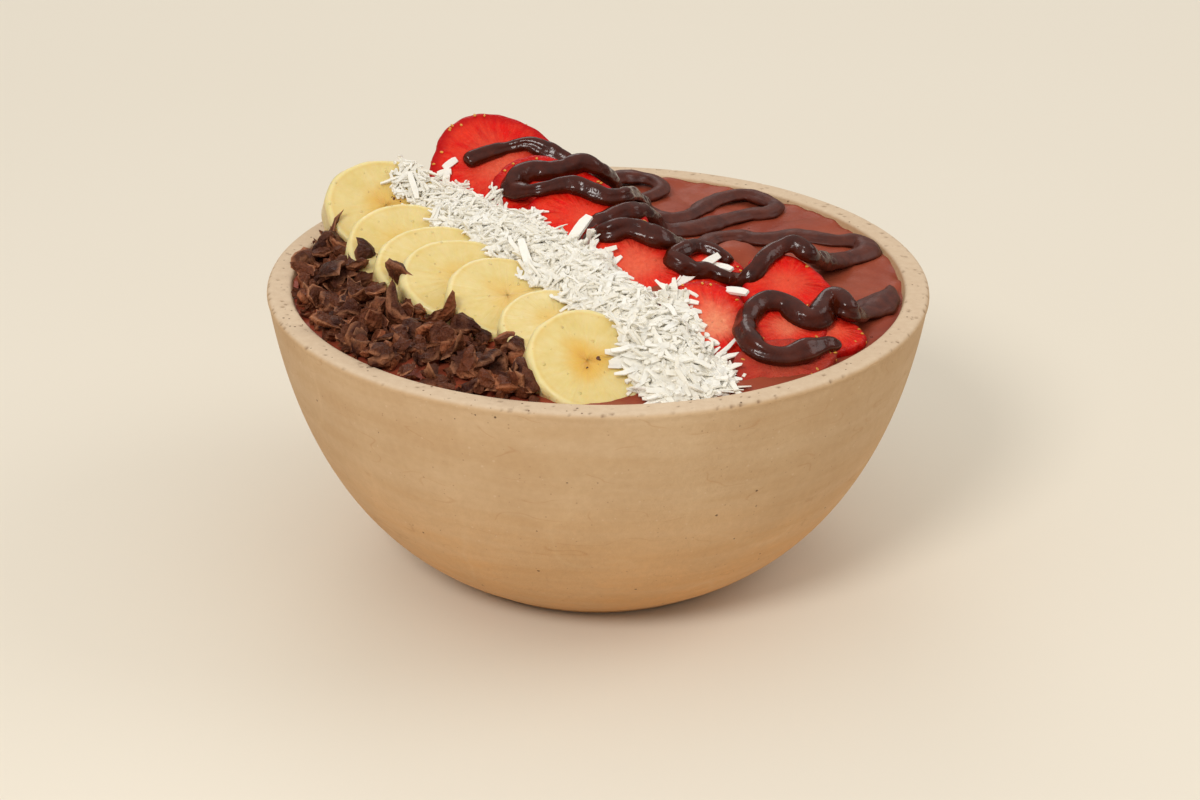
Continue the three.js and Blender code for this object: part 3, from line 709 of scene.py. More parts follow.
def banana_flesh():
    """Pale yellow flesh: a translucent amber core with three soft arms, faint rays, a creamy
    rim, and cut sides with lengthwise fibres. The mark 'cut' holds distance from the middle
    (1 at the edge, more down the side), angle in turns, and how ripe the core is."""
    finish = Finish("banana_flesh", Specular_IOR_Level=0.45, Coat_Weight=0.2, Coat_Roughness=0.12,
                    Subsurface_Weight=0.3, Subsurface_Scale=0.005,
                    Subsurface_Radius=(1.0, 0.62, 0.2))
    cut = finish.add("ShaderNodeSeparateXYZ", {"Vector": finish.mark("cut", "Vector")}).outputs
    out, turn, ripe = cut[0], cut[1], cut[2]
    angle = finish.maths("MULTIPLY", turn, 2 * math.pi)
    wobble = finish.group("mottle", Scale=120.0, Detail=3.0, Contrast=0.25)
    arms = finish.maths("COSINE", finish.maths("MULTIPLY", angle, 3.0))
    edge = finish.maths("ADD", out, finish.maths("MULTIPLY", arms, -0.06))
    edge = finish.maths("ADD", edge, finish.maths("MULTIPLY", wobble, 0.16))
    core = finish.maths("MULTIPLY", finish.ramp(edge, 0.22, 0.66, 1.0, 0.0), ripe)
    heart = finish.maths("MULTIPLY", finish.ramp(edge, 0.1, 0.3, 1.0, 0.0), ripe)
    rays_at = finish.add("ShaderNodeCombineXYZ", {
        "X": finish.maths("COSINE", angle), "Y": finish.maths("SINE", angle),
        "Z": finish.maths("MULTIPLY", out, 0.12)}).outputs[0]
    rays = finish.group("mottle", rays_at, Scale=9.0, Detail=2.0, Contrast=0.2)
    rim = finish.ramp(finish.maths("MULTIPLY_ADD", wobble, 0.04, out), 0.90, 0.96)
    groove = finish.maths("MULTIPLY", finish.ramp(out, 0.82, 0.89),
                          finish.ramp(out, 0.89, 0.93, 1.0, 0.0))
    small_cloud = finish.group("mottle", Scale=330.0, Detail=3.0, Contrast=0.2)
    body = finish.blend(wobble, linear(216, 189, 106), linear(229, 209, 145))
    body = finish.over(body, small_cloud, 0.35, linear(236, 218, 160))
    body = finish.over(body, rays, 0.18, linear(224, 186, 86))
    body = finish.over(body, core, 0.85, linear(226, 176, 64))
    body = finish.over(body, heart, 0.4, linear(212, 148, 44))
    body = finish.over(body, groove, 0.25, linear(222, 184, 92))
    body = finish.over(body, rim, 0.45, linear(240, 224, 168))
    side = finish.ramp(out, 1.0, 1.06)
    body = finish.over(body, side, 0.6, linear(226, 192, 112))
    specks = finish.group("specks", Scale=520.0, Size=0.2, Share=0.05)
    body = finish.over(body, specks, 0.4, linear(200, 150, 70))
    fibres = finish.group("mottle", rays_at, Scale=40.0, Detail=3.0, Contrast=0.2)
    body = finish.over(body, finish.maths("MULTIPLY", side, fibres), 0.3, linear(246, 232, 184))
    wet = finish.group("mottle", Scale=300.0, Detail=2.0, Contrast=0.2)
    rough = finish.maths("MULTIPLY_ADD", wet, 0.25, 0.28)
    drops = finish.group("specks", Scale=700.0, Size=0.32, Share=0.2)
    relief = finish.maths("MULTIPLY_ADD", drops, 0.3, finish.maths("MULTIPLY", rays, 0.08))
    relief = finish.maths("MULTIPLY_ADD", finish.maths("MULTIPLY", side, fibres), 0.25, relief)
    normal = finish.group("relief", Scale=420.0, Height=0.22, Extra=relief)
    return finish.use(Base_Color=body, Normal=normal, Roughness=rough)


def strawberry_flesh():
    """Cut strawberry: a deep red edge, brighter flesh with pale threads running out from the
    middle, and a pale heart where the mark 'cut' says so (distance, angle, paleness). The mark
    'smeared' is how much thin acai film dulls the slice."""
    finish = Finish("strawberry_flesh", Roughness=0.36, Specular_IOR_Level=0.1, Coat_Weight=0.08,
                    Coat_Roughness=0.06, Subsurface_Weight=0.18, Subsurface_Scale=0.003,
                    Subsurface_Radius=(1.0, 0.25, 0.12))
    cut = finish.add("ShaderNodeSeparateXYZ", {"Vector": finish.mark("cut", "Vector")}).outputs
    out, turn, pale = cut[0], cut[1], cut[2]
    angle = finish.maths("MULTIPLY", turn, 2 * math.pi)
    spread = finish.add("ShaderNodeCombineXYZ", {
        "X": finish.maths("COSINE", angle), "Y": finish.maths("SINE", angle),
        "Z": finish.maths("MULTIPLY", out, 0.25)}).outputs[0]
    threads = finish.group("mottle", spread, Scale=7.5, Detail=3.0, Contrast=0.1)
    threads = finish.maths("MULTIPLY", threads, finish.ramp(out, 0.3, 0.55))
    threads = finish.maths("MULTIPLY", threads, finish.ramp(out, 0.8, 0.95, 1.0, 0.0))
    cells = finish.group("mottle", Scale=1000.0, Detail=2.0, Contrast=0.2)
    cloud = finish.group("mottle", Scale=170.0, Detail=4.0, Contrast=0.2)
    glint = finish.group("specks", Scale=900.0, Size=0.28, Share=0.12)
    ragged = finish.maths("MULTIPLY_ADD", cloud, 0.22, out)
    heart = finish.maths("MULTIPLY", finish.ramp(ragged, 0.15, 0.85, 1.0, 0.0), pale)
    body = finish.blend(cloud, linear(212, 9, 6), linear(240, 24, 13))
    body = finish.blend(finish.ramp(ragged, 0.1, 0.8, 0.38, 0.0), body, linear(248, 84, 42))
    body = finish.blend(finish.ramp(out, 0.74, 0.98, 0.0, 0.85), body, linear(172, 6, 8))
    body = finish.over(body, threads, 0.4, linear(248, 86, 52))
    body = finish.blend(heart, body, linear(242, 150, 112))
    body = finish.over(body, cells, 0.3, linear(188, 6, 6))
    side = finish.ramp(out, 1.0, 1.08)
    body = finish.over(body, side, 0.85, linear(178, 8, 10))
    film = finish.maths("MULTIPLY", finish.mark("smeared"), finish.ramp(cloud, 0.0, 1.0, 0.7, 1.0))
    body = finish.blend(film, body, linear(142, 62, 46))
    lumps = finish.maths("MULTIPLY_ADD", threads, 0.15, finish.maths("MULTIPLY", cells, 0.1))
    lumps = finish.maths("MULTIPLY_ADD", glint, 0.25, lumps)
    normal = finish.group("relief", Scale=620.0, Height=0.4, Extra=lumps)
    return finish.use(Base_Color=body, Normal=normal)


def coconut_white():
    """Dry shredded coconut: warm white with faint fibre and slight tone from shred to shred."""
    finish = Finish("coconut_white", Roughness=0.5, Specular_IOR_Level=0.3,
                    Subsurface_Weight=0.2, Subsurface_Scale=0.0015,
                    Subsurface_Radius=(1.0, 0.9, 0.75))
    tone = finish.mark("tone")
    body = finish.blend(tone, linear(240, 234, 219), linear(250, 247, 238))
    fibre = finish.group("mottle", Scale=700.0, Detail=2.0, Contrast=0.25)
    body = finish.over(body, fibre, 0.2, linear(234, 225, 206))
    normal = finish.group("relief", Scale=1400.0, Height=0.08)
    return finish.use(Base_Color=body, Normal=normal)


def cacao():
    """Roasted nibs: nearly black and smooth on the shell side, rough reddish brown with pale
    dusty patches where broken. The mark 'shard' holds tone, side (1 on the shell side) and how
    near the thin broken edge is; near that edge the colour is paler, partly the broken edge's own
    pale colour and partly a painted highlight where the edge catches the light."""
    finish = Finish("cacao", Specular_IOR_Level=0.16)
    shard = finish.add("ShaderNodeSeparateXYZ", {"Vector": finish.mark("shard", "Vector")}).outputs
    tone, shell = shard[0], shard[1]
    patch = finish.group("mottle", Scale=330.0, Detail=4.0, Contrast=0.1)
    fine = finish.group("mottle", Scale=1300.0, Detail=3.0, Contrast=0.2)
    body = finish.blend(tone, linear(58, 22, 12), linear(164, 88, 52))
    body = finish.over(body, patch, 0.5, linear(178, 110, 72))
    body = finish.over(body, shell, 0.6, linear(56, 24, 15))
    body = finish.over(body, fine, 0.5, linear(40, 14, 8))
    # Paler near the thin broken edge: partly the edge's own pale colour, partly a painted highlight
    # where it catches the light.
    body = finish.over(body, shard[2], 0.7, linear(190, 132, 96))
    normal = finish.group("relief", Scale=1000.0, Height=0.9)
    rough = finish.maths("MULTIPLY_ADD", shell, -0.15, 0.6)
    return finish.use(Base_Color=body, Normal=normal, Roughness=rough)


def chocolate():
    """Chocolate sauce: near black and wet on the fruit, browner and satin where it sinks on
    the acai, with tiny brown specks there. The mark 'wet' is 1 on the fruit."""
    finish = Finish("chocolate", Specular_IOR_Level=0.3)
    wet = finish.mark("wet")
    streak = finish.group("mottle", Scale=300.0, Detail=3.0, Contrast=0.2)
    satin = finish.blend(streak, linear(66, 23, 12), linear(92, 38, 21))
    shiny = finish.blend(streak, linear(50, 13, 4), linear(78, 26, 9))
    body = finish.blend(wet, satin, shiny)
    grain = finish.group("specks", Scale=480.0, Size=0.16, Share=0.08)
    body = finish.blend(finish.maths("MULTIPLY", grain, finish.ramp(wet, 0.0, 0.25, 0.55, 0.0)),
                        body, linear(150, 70, 36))
    rough = finish.maths("MULTIPLY_ADD", wet, -0.29, 0.47)
    normal = finish.group("relief", Scale=300.0, Height=0.3)
    return finish.use(Base_Color=body, Normal=normal, Roughness=rough)


def plain_finish(name, colour, **values):
    """A small seed's finish: one colour broken by fine mottling."""
    finish = Finish(name, **values)
    mask = finish.group("mottle", Scale=900.0, Detail=2.0, Contrast=0.25)
    darker = tuple(0.6 * v for v in colour[:3]) + (1.0,)
    return finish.use(Base_Color=finish.blend(mask, darker, colour),
                      Normal=finish.group("relief", Scale=900.0, Height=0.1))


# Pieces

def make_bowl(material):
    """A profile turned round the Z axis: foot, outer wall, rounded rim, inner wall, floor. Pits
    and chips are round dents of the rim and its outer edge, deepest in the middle."""
    outer_z = np.concatenate([np.linspace(FOOT_ROUND, 60, 30), np.linspace(62, WALL_TOP, 12)])
    arc = np.linspace(0, math.pi / 2, 6)
    foot_edge = outer_radius(FOOT_ROUND)
    rows = [(0, 0), (12, 0), (24, 0), (FOOT_RADIUS - 2, 0), (FOOT_RADIUS, 0)]
    rows += [(FOOT_RADIUS + (foot_edge - FOOT_RADIUS) * math.sin(a), FOOT_ROUND * (1 - math.cos(a)))
             for a in arc[1:-1]]
    rows += list(zip(outer_radius(outer_z), outer_z))
    rows += [(RIM_RADIUS - OUTER_ROUND * (1 - math.cos(a)),
              RIM_HEIGHT - OUTER_ROUND * (1 - math.sin(a))) for a in arc]
    inner_edge = RIM_RADIUS - RIM_WALL
    rows += [(r, RIM_HEIGHT) for r in np.linspace(RIM_RADIUS - OUTER_ROUND - 0.4,
                                                  inner_edge + INNER_ROUND + 0.4, 9)]
    rows += [(inner_edge + INNER_ROUND * (1 - math.sin(a)),
              RIM_HEIGHT - INNER_ROUND * (1 - math.cos(a))) for a in arc]
    inner_z = np.linspace(WALL_TOP, FLOOR_THICKNESS + 1, 12)
    rows += list(zip(inner_radius(inner_z), inner_z))
    rows += [(18, FLOOR_THICKNESS), (0, FLOOR_THICKNESS)]
    profile = np.array(rows, float)
    angle = np.linspace(0, 2 * math.pi, BOWL_SEGMENTS, endpoint=False)
    radius = profile[:, 0][:, None] * np.ones_like(angle)
    height = profile[:, 1][:, None] * np.ones_like(angle)
    step = np.gradient(profile, axis=0)
    normal = unit(np.stack([step[:, 1], -step[:, 0]], axis=1))
    draw = np.random.default_rng(BOWL_DRAW)
    pit = np.zeros_like(radius)
    dent = np.zeros_like(radius)
    centres = [(draw.uniform(inner_edge + 0.5, RIM_RADIUS - 0.4), RIM_HEIGHT,
                draw.uniform(0, 2 * math.pi), draw.uniform(0.4, 0.9) ** 1.6)
               for _ in range(RIM_PIT_COUNT)]
    centres += [(RIM_RADIUS - 0.25, RIM_HEIGHT - 0.3, draw.uniform(0, 2 * math.pi),
                 draw.uniform(0.3, 0.9)) for _ in range(RIM_CHIP_COUNT)]
    for r0, z0, a0, size in centres:
        rows_near = np.where(np.hypot(profile[:, 0] - r0, profile[:, 1] - z0) < 2.2)[0]
        turn = (angle - a0 + math.pi) % (2 * math.pi) - math.pi
        columns = np.where(np.abs(turn) * r0 < 1.6)[0]
        cells = np.ix_(rows_near, columns)
        d2 = (radius[cells] - r0) ** 2 + (height[cells] - z0) ** 2 + (turn[columns] * r0) ** 2
        bell = np.exp(-d2 / (DENT_WIDTH * size) ** 2)
        pit[cells] = np.maximum(pit[cells], bell)
        dent[cells] = np.maximum(dent[cells], bell * DENT_DEPTH * size)
    wave = 0.10 * np.sin(3 * angle + 1) + 0.06 * np.sin(7 * angle) + 0.04 * np.sin(19 * angle + 2)
    upper = smooth_step(height, 60, 77)
    radius = radius - normal[:, 0][:, None] * dent
    height = height - normal[:, 1][:, None] * dent + 0.5 * wave * upper
    points = np.stack([radius * np.cos(angle), radius * np.sin(angle), height], axis=-1)
    on_top = smooth_step(height, 75.8, 76.9) * smooth_step(normal[:, 1][:, None], 0.2, 0.8)
    marks = {"pit": np.clip(pit, 0, 1), "rim": on_top}
    return new_piece("cast_bowl", points, grid_quads(len(profile), BOWL_SEGMENTS), material, marks)


def make_acai(material):
    """A disc in rings: the blend's level with soft folds, then down the wall to the floor. It
    reaches just into the wall. The folds are ridges in wavering ovals round a point behind the
    bowl, strong in some patches. Near the rim the blend is smeared higher and lower."""
    angle = np.linspace(0, 2 * math.pi, ACAI_AROUND, endpoint=False)
    edge = float(inner_radius(ACAI_LEVEL)) + ACAI_REACH
    rings = np.concatenate([np.linspace(0, edge - 3, 96), edge - 3 + 3 * np.linspace(0.15, 1, 8)])
    r, a = np.meshgrid(rings, angle, indexing="ij")
    x, y = r * np.cos(a), r * np.sin(a)
    z = acai_level(x, y)
    bent = np.hypot(x - FOLD_MIDDLE[0] + 4 * ripple(x, y, 13, 40),
                    0.8 * (y - FOLD_MIDDLE[1]) + 3 * ripple(x, y, 14, 30))
    folds = np.abs(np.sin(bent * 2 * math.pi / FOLD_SPACING)) ** 0.7
    z = z + FOLD_HEIGHT * (folds - 0.6) * smooth_step(ripple(x, y, 15, 45), -0.9, 0.7)
    z = z + 0.20 * ripple(x, y, 7, 26) + 0.10 * ripple(x, y, 8, 9) + 0.05 * ripple(x, y, 9, 3.5)
    smear = smooth_step(r, edge - SMEAR_WIDTH, edge)
    z = z + smear * (0.35 * ripple(x, y, 12, 12) + 0.9 * smooth_step(y, 20, 80))
    down = np.linspace(70, FLOOR_THICKNESS, 10)
    dr, da = np.meshgrid(inner_radius(np.maximum(down, FLOOR_THICKNESS + 0.4)) + ACAI_REACH, angle,
                         indexing="ij")
    dz = np.repeat(down[:, None], ACAI_AROUND, axis=1)
    bottom = np.broadcast_to([0.0, 0.0, FLOOR_THICKNESS], (1, ACAI_AROUND, 3))
    points = np.concatenate([np.stack([x, y, z], -1),
                             np.stack([dr * np.cos(da), dr * np.sin(da), dz], -1), bottom])
    return new_piece("acai_blend_surface", points, grid_quads(len(points), ACAI_AROUND), material)


def slice_points(outline, centre, axes, thick, edge, relief, third_mark):
    """A thick slice: rings from the middle of the cut face out to a rounded edge, down the side,
    round the lower edge and back to the middle. outline is the edge seen square on, and relief
    gives the height of the cut face from distance (0 to 1) and angle."""
    count = len(outline)
    angle = np.linspace(0, 2 * math.pi, count, endpoint=False)
    out = unit(outline)
    size = np.linalg.norm(outline, axis=1)
    arc = np.linspace(0, math.pi / 2, 6)[1:]
    top = np.linspace(0, 1, 26)
    side = np.linspace(edge, thick - edge, 8)[1:]
    share = np.concatenate([top, np.ones(len(arc) + len(side) + 4), np.linspace(1, 0, 5)])
    extra = np.concatenate([0 * top, edge * np.sin(arc), np.full(len(side), edge),
                            edge * np.cos(arc[:4]), np.zeros(5)])
    drop = np.concatenate([0 * top, edge * (1 - np.cos(arc)), side,
                           thick - edge + edge * np.sin(arc[:4]), np.full(5, thick)])
    reach = (size[None, :] - edge) * share[:, None] + extra[:, None]
    flat = reach / size[None, :]
    on_top = np.concatenate([np.ones(len(top) + 2), np.zeros(len(share) - len(top) - 2)])[:, None]
    height = -drop[:, None] + relief(flat, angle[None, :]) * on_top
    reach = reach + (1 - on_top) * 0.12 * np.sin(11 * angle + 2 * third_mark)[None, :] * (
        share[:, None] > 0.99)
    local = np.stack([reach * out[:, 0], reach * out[:, 1], height], axis=-1)
    points = np.asarray(centre, float) + local @ np.stack(axes)
    distance = flat + np.maximum(0, drop[:, None] - edge) / thick * (share[:, None] > 0.99)
    distance = np.where(drop[:, None] >= thick, flat, distance)
    cut = np.stack([distance, np.broadcast_to(angle / (2 * math.pi), distance.shape),
                    np.full(distance.shape, third_mark)], axis=-1)
    return points, cut, grid_quads(len(share), count)


def make_bananas(material):
    """One piece for each slice: a faint crown, three shallow arms in the core, knife marks."""
    pieces = []
    angle = np.linspace(0, 2 * math.pi, BANANA_AROUND, endpoint=False)
    for i, (x, y, z, across, rise, lean, toward, thick) in enumerate(BANANAS):
        def relief(out, turn, i=i):
            core = np.exp(-(out / 0.32) ** 2)
            arms = 1 + 0.5 * np.cos(3 * turn + i)
            rim = np.exp(-((out - 0.93) / 0.05) ** 2)
            knife = 0.05 * np.sin(9 * out * np.cos(turn + i) + 3 * out * np.sin(turn))
            rays = 0.04 * np.sin(24 * turn + 5 * i) * smooth_step(out, 0.25, 0.6) * (out < 0.97)
            return 0.25 * (1 - out ** 2) - 0.35 * core * arms + 0.06 * rim + knife + rays
        outline = banana_outline(angle, across, rise, i)
        points, cut, quads = slice_points(outline, (x, y, z), slice_axes(lean, toward), thick,
                                          BANANA_EDGE, relief, BANANA_CORE[i])
        piece = new_piece(f"banana_slice_{i + 1}", points, quads, material, {"cut": cut})
        pieces.append((piece, f"banana_{i + 1}"))
    return pieces


def make_berries(material):
    """One piece for each slice: the flesh swells a little between the threads, and a shallow
    hollow runs along the heart of the paler ones."""
    pieces = []
    angle = np.linspace(0, 2 * math.pi, BERRY_AROUND, endpoint=False)
    for i, (x, y, z, half_long, half_wide, lean, toward, spin, thick) in enumerate(BERRIES):
        def relief(out, turn, i=i):
            threads = np.sin(17 * turn + 3 * i) * smooth_step(out, 0.2, 0.5) * (out < 0.95)
            hollow = np.exp(-(out / 0.3) ** 2) * (0.25 + 0.6 * BERRY_PALENESS[i])
            uneven = 0.10 * np.sin(5 * out * np.cos(turn) + i) + 0.08 * np.sin(7 * out * np.sin(turn))
            return 0.55 * (1 - out ** 2) + 0.07 * threads - 0.5 * hollow + uneven
        outline = berry_outline(angle, half_long, half_wide, i)
        points, cut, quads = slice_points(outline, (x, y, z), slice_axes(lean, toward, spin), thick,
                                          BERRY_EDGE, relief, BERRY_PALENESS[i])
        marks = {"cut": cut, "smeared": np.full(cut.shape[:2], BERRY_FILM[i])}
        piece = new_piece(f"strawberry_slice_{i + 1}", points, quads, material, marks)
        pieces.append((piece, f"strawberry_{i + 1}"))
    return pieces


def egg_points(centres, long_way, wide_way, out_way, sizes, rows=6, columns=8):
    """Small ellipsoids, one for each centre, with their own three directions and half sizes."""
    polar = np.linspace(0, math.pi, rows)
    turn = np.linspace(0, 2 * math.pi, columns, endpoint=False)
    p, t = np.meshgrid(polar, turn, indexing="ij")
    ball = np.stack([np.cos(p), np.sin(p) * np.cos(t), np.sin(p) * np.sin(t)], -1).reshape(-1, 3)
    spread = ball[None] * np.asarray(sizes)[:, None, :]
    basis = np.stack([long_way, wide_way, out_way], axis=1)
    points = centres[:, None, :] + np.einsum("nkj,njc->nkc", spread, basis)
    return points, copies_of_quads(grid_quads(rows, columns), rows * columns, len(centres))


def make_berry_seeds(material):
    """Yellow seeds round the rim of each strawberry slice and down its side, pointing along the
    skin, half sunk in it."""
    draw = np.random.default_rng(BERRY_SEED_DRAW)
    centres, long_way, wide_way, out_way = [], [], [], []
    for i, (x, y, z, half_long, half_wide, lean, toward, spin, thick) in enumerate(BERRIES):
        u, v, n = slice_axes(lean, toward, spin)
        count = int(BERRY_SEED_SHARE * (half_long + half_wide))
        turn = (np.arange(count) + draw.uniform(-0.7, 0.7, count)) * 2 * math.pi / count
        edge = berry_outline(turn, half_long, half_wide, i)
        ahead = berry_outline(turn + 0.02, half_long, half_wide, i)
        skin_way = unit(np.stack([(ahead - edge)[:, 1], -(ahead - edge)[:, 0]], axis=1))
        depth = draw.uniform(0.05, 0.85, count) * thick
        on_face = depth < 1.2
        inset = np.where(on_face, draw.uniform(0.7, 2.2, count), 0.12)
        flat = edge - skin_way * inset[:, None]
        level = np.where(on_face, 0.05, -depth)
        centres.append(np.array([x, y, z]) + flat[:, :1] * u + flat[:, 1:] * v + level[:, None] * n)
        outward = skin_way[:, :1] * u + skin_way[:, 1:] * v
        facing = unit(np.where(on_face[:, None], n + 0.5 * outward, outward))
        along = unit(np.cross(facing, unit(-skin_way[:, 1:] * u + skin_way[:, :1] * v)))
        out_way.append(facing)
        long_way.append(along)
        wide_way.append(np.cross(facing, along))
    centres, long_way, wide_way, out_way = (np.concatenate(a) for a in
                                            (centres, long_way, wide_way, out_way))
    sizes = np.stack([draw.uniform(least, most, len(centres))
                      for least, most in BERRY_SEED_SIZES], axis=1)
    points, quads = egg_points(centres, long_way, wide_way, out_way, sizes)
    return new_piece("strawberry_seeds", points, quads, material)


def make_banana_seeds(material):
    """Dark specks of seed in the hearts of the slices, each a few small grains together."""
    draw = np.random.default_rng(BANANA_SEED_DRAW)
    centres, frames, sizes = [], [], []
    for number, along, across, size in BANANA_SEEDS:
        x, y, z, _, _, lean, toward, _ = BANANAS[number]
        u, v, n = slice_axes(lean, toward)
        for _ in range(3):
            shift = draw.normal(0, 0.3 * size, 2)
            centres.append(np.array([x, y, z]) + (along + shift[0]) * u + (across + shift[1]) * v
                           - 0.05 * n)
            turn = draw.uniform(0, math.pi)
            way = math.cos(turn) * u + math.sin(turn) * v
            frames.append((way, np.cross(n, way), n))
            sizes.append((0.6 * size, 0.36 * size, 0.25 * size))
    frames = np.array(frames)
    points, quads = egg_points(np.array(centres), frames[:, 0], frames[:, 1], frames[:, 2], sizes)
    return new_piece("banana_seeds", points, quads, material)


def strip_points(centres, along, out, length, width, thick, curl, taper):
    """Flat strips, one for each centre: five cross-sections of four corners along a line that
    bends by curl towards the out direction and narrows to taper at its ends."""
    s = np.linspace(-0.5, 0.5, STRIP_SECTIONS)[None, :, None]
    side = unit(np.cross(out, along))
    out = unit(np.cross(along, side))
    middle = (centres[:, None, :] + along[:, None, :] * s * length[:, None, None]
              + out[:, None, :] * (curl * length)[:, None, None] * (0.25 - s ** 2)
              + side[:, None, :] * (0.35 * curl * length)[:, None, None] * np.sin(4 * s))
    narrow = 1 - (1 - taper)[:, None] * (2 * np.abs(s[..., 0])) ** 3
    corners = np.array([(-1, -1), (1, -1), (1, 1), (-1, 1)], float)
    across = corners[None, None, :, 0] * (width[:, None] * narrow / 2)[..., None]
    deep = corners[None, None, :, 1] * (thick[:, None] * narrow / 2)[..., None]
    points = (middle[:, :, None, :] + side[:, None, None, :] * across[..., None]
              + out[:, None, None, :] * deep[..., None])
    ends = np.array([[3, 2, 1, 0], STRIP_POINTS - 4 + np.arange(4)])
    one = np.vstack([grid_quads(STRIP_SECTIONS, 4), ends])
    quads = copies_of_quads(one, STRIP_POINTS, len(centres))
    return points.reshape(-1, 3), quads


def shreds_at(x, y, draw, length, width, thick, lift, tilt, level):
    """Strips laid at points in plan on a height field, turned every way and tilted a little."""
    count = len(x)
    normal = level_normal(level, x, y)
    turn = draw.uniform(0, 2 * math.pi, count)
    flat = np.stack([np.cos(turn), np.sin(turn), np.zeros(count)], axis=1)
    along = unit(flat - normal * np.sum(flat * normal, axis=1, keepdims=True))
    along = unit(along + normal * draw.normal(0, tilt, count)[:, None])
    out = unit(normal + draw.normal(0, 0.3, (count, 3)))
    centres = np.stack([x, y, level(x, y)], axis=1) + normal * lift[:, None]
    return strip_points(centres, along, out, length, width, thick, draw.uniform(-0.2, 0.45, count),
                        draw.uniform(0.3, 0.9, count))


def make_coconut_shreds(material):
    """Shreds and grated bits over the heap, coarser towards the front, a few strays beyond its
    edges, and the single long ones, all in one mesh."""
    draw = np.random.default_rng(COCONUT_DRAW)
    parts, tones = [], []
    for count, spread, length, width, thick, lift, tilt in COCONUT_LAYERS:
        x = draw.uniform(-58, 34, count * 9)
        y = draw.uniform(-78, 50, count * 9)
        away, along = line_distance(x, y, COCONUT_CREST)
        keep = (away < COCONUT_HALF_WIDTH * spread * (1 + 0.12 * ripple(x, y, 5, 12)))
        keep &= np.hypot(x, y) < COCONUT_REACH
        x, y, along = x[keep][:count], y[keep][:count], along[keep][:count]
        n = len(x)
        coarse = 0.6 + 0.52 * along
        points, quads = shreds_at(x, y, draw, draw.uniform(*length, n) * coarse,
                                  draw.uniform(*width, n) * coarse, draw.uniform(*thick, n),
                                  draw.uniform(*lift, n), tilt, topping_level)
        parts.append((points, quads))
        tones.append(np.repeat(draw.uniform(0, 1, n), STRIP_POINTS))
    centres = np.array([row[0] for row in SINGLE_SHREDS], float)
    along = unit(np.array([row[1] for row in SINGLE_SHREDS], float))
    sizes = np.array([row[2:] for row in SINGLE_SHREDS], float)
    upward = unit(np.array([[0.1, -0.55, 0.83]]) + draw.normal(0, 0.15, (len(centres), 3)))
    parts.append(strip_points(centres, along, upward, sizes[:, 0], sizes[:, 1], sizes[:, 2],
                              np.full(len(centres), 0.08), np.full(len(centres), 0.75)))
    tones.append(np.full(len(centres) * STRIP_POINTS, 0.8))
    start = np.cumsum([0] + [len(p) for p, _ in parts])
    points = np.concatenate([p for p, _ in parts])
    quads = np.concatenate([q + s for (_, q), s in zip(parts, start)])
    return new_piece("coconut_shreds", points, quads, material, {"tone": np.concatenate(tones)},
                     smooth=False)


def make_coconut_heap(material):
    """The lumpy body under the shreds: its level across each place of the crest, closed by a
    flat base in the acai and by a fan at each end."""
    crest = np.asarray(COCONUT_CREST, float)
    t = np.linspace(0, 1, 150)
    at = np.stack([np.interp(t, np.linspace(0, 1, len(crest)), crest[:, k]) for k in range(3)], 1)
    way = unit(np.gradient(at[:, :2], axis=0))
    off = np.linspace(-1, 1, 48) * COCONUT_HALF_WIDTH * COCONUT_CORE
    x = at[:, 0][:, None] - way[:, 1][:, None] * off
    y = at[:, 1][:, None] + way[:, 0][:, None] * off
    z = np.maximum(coconut_level(x, y), acai_level(x, y) - 1) - 0.1
    under = np.stack([x, y, np.full_like(z, ACAI_LEVEL - 3)], -1)
    over = np.stack([x, y, z], -1)
    ring = np.concatenate([over, under[:, ::-1]], axis=1)
    closed = np.concatenate([np.broadcast_to(ring[0].mean(0), ring[:1].shape), ring,
                             np.broadcast_to(ring[-1].mean(0), ring[:1].shape)])
    return new_piece("coconut_heap", closed, grid_quads(len(closed), ring.shape[1]), material,
                     {"tone": np.full(closed.shape[:2], 0.3)})


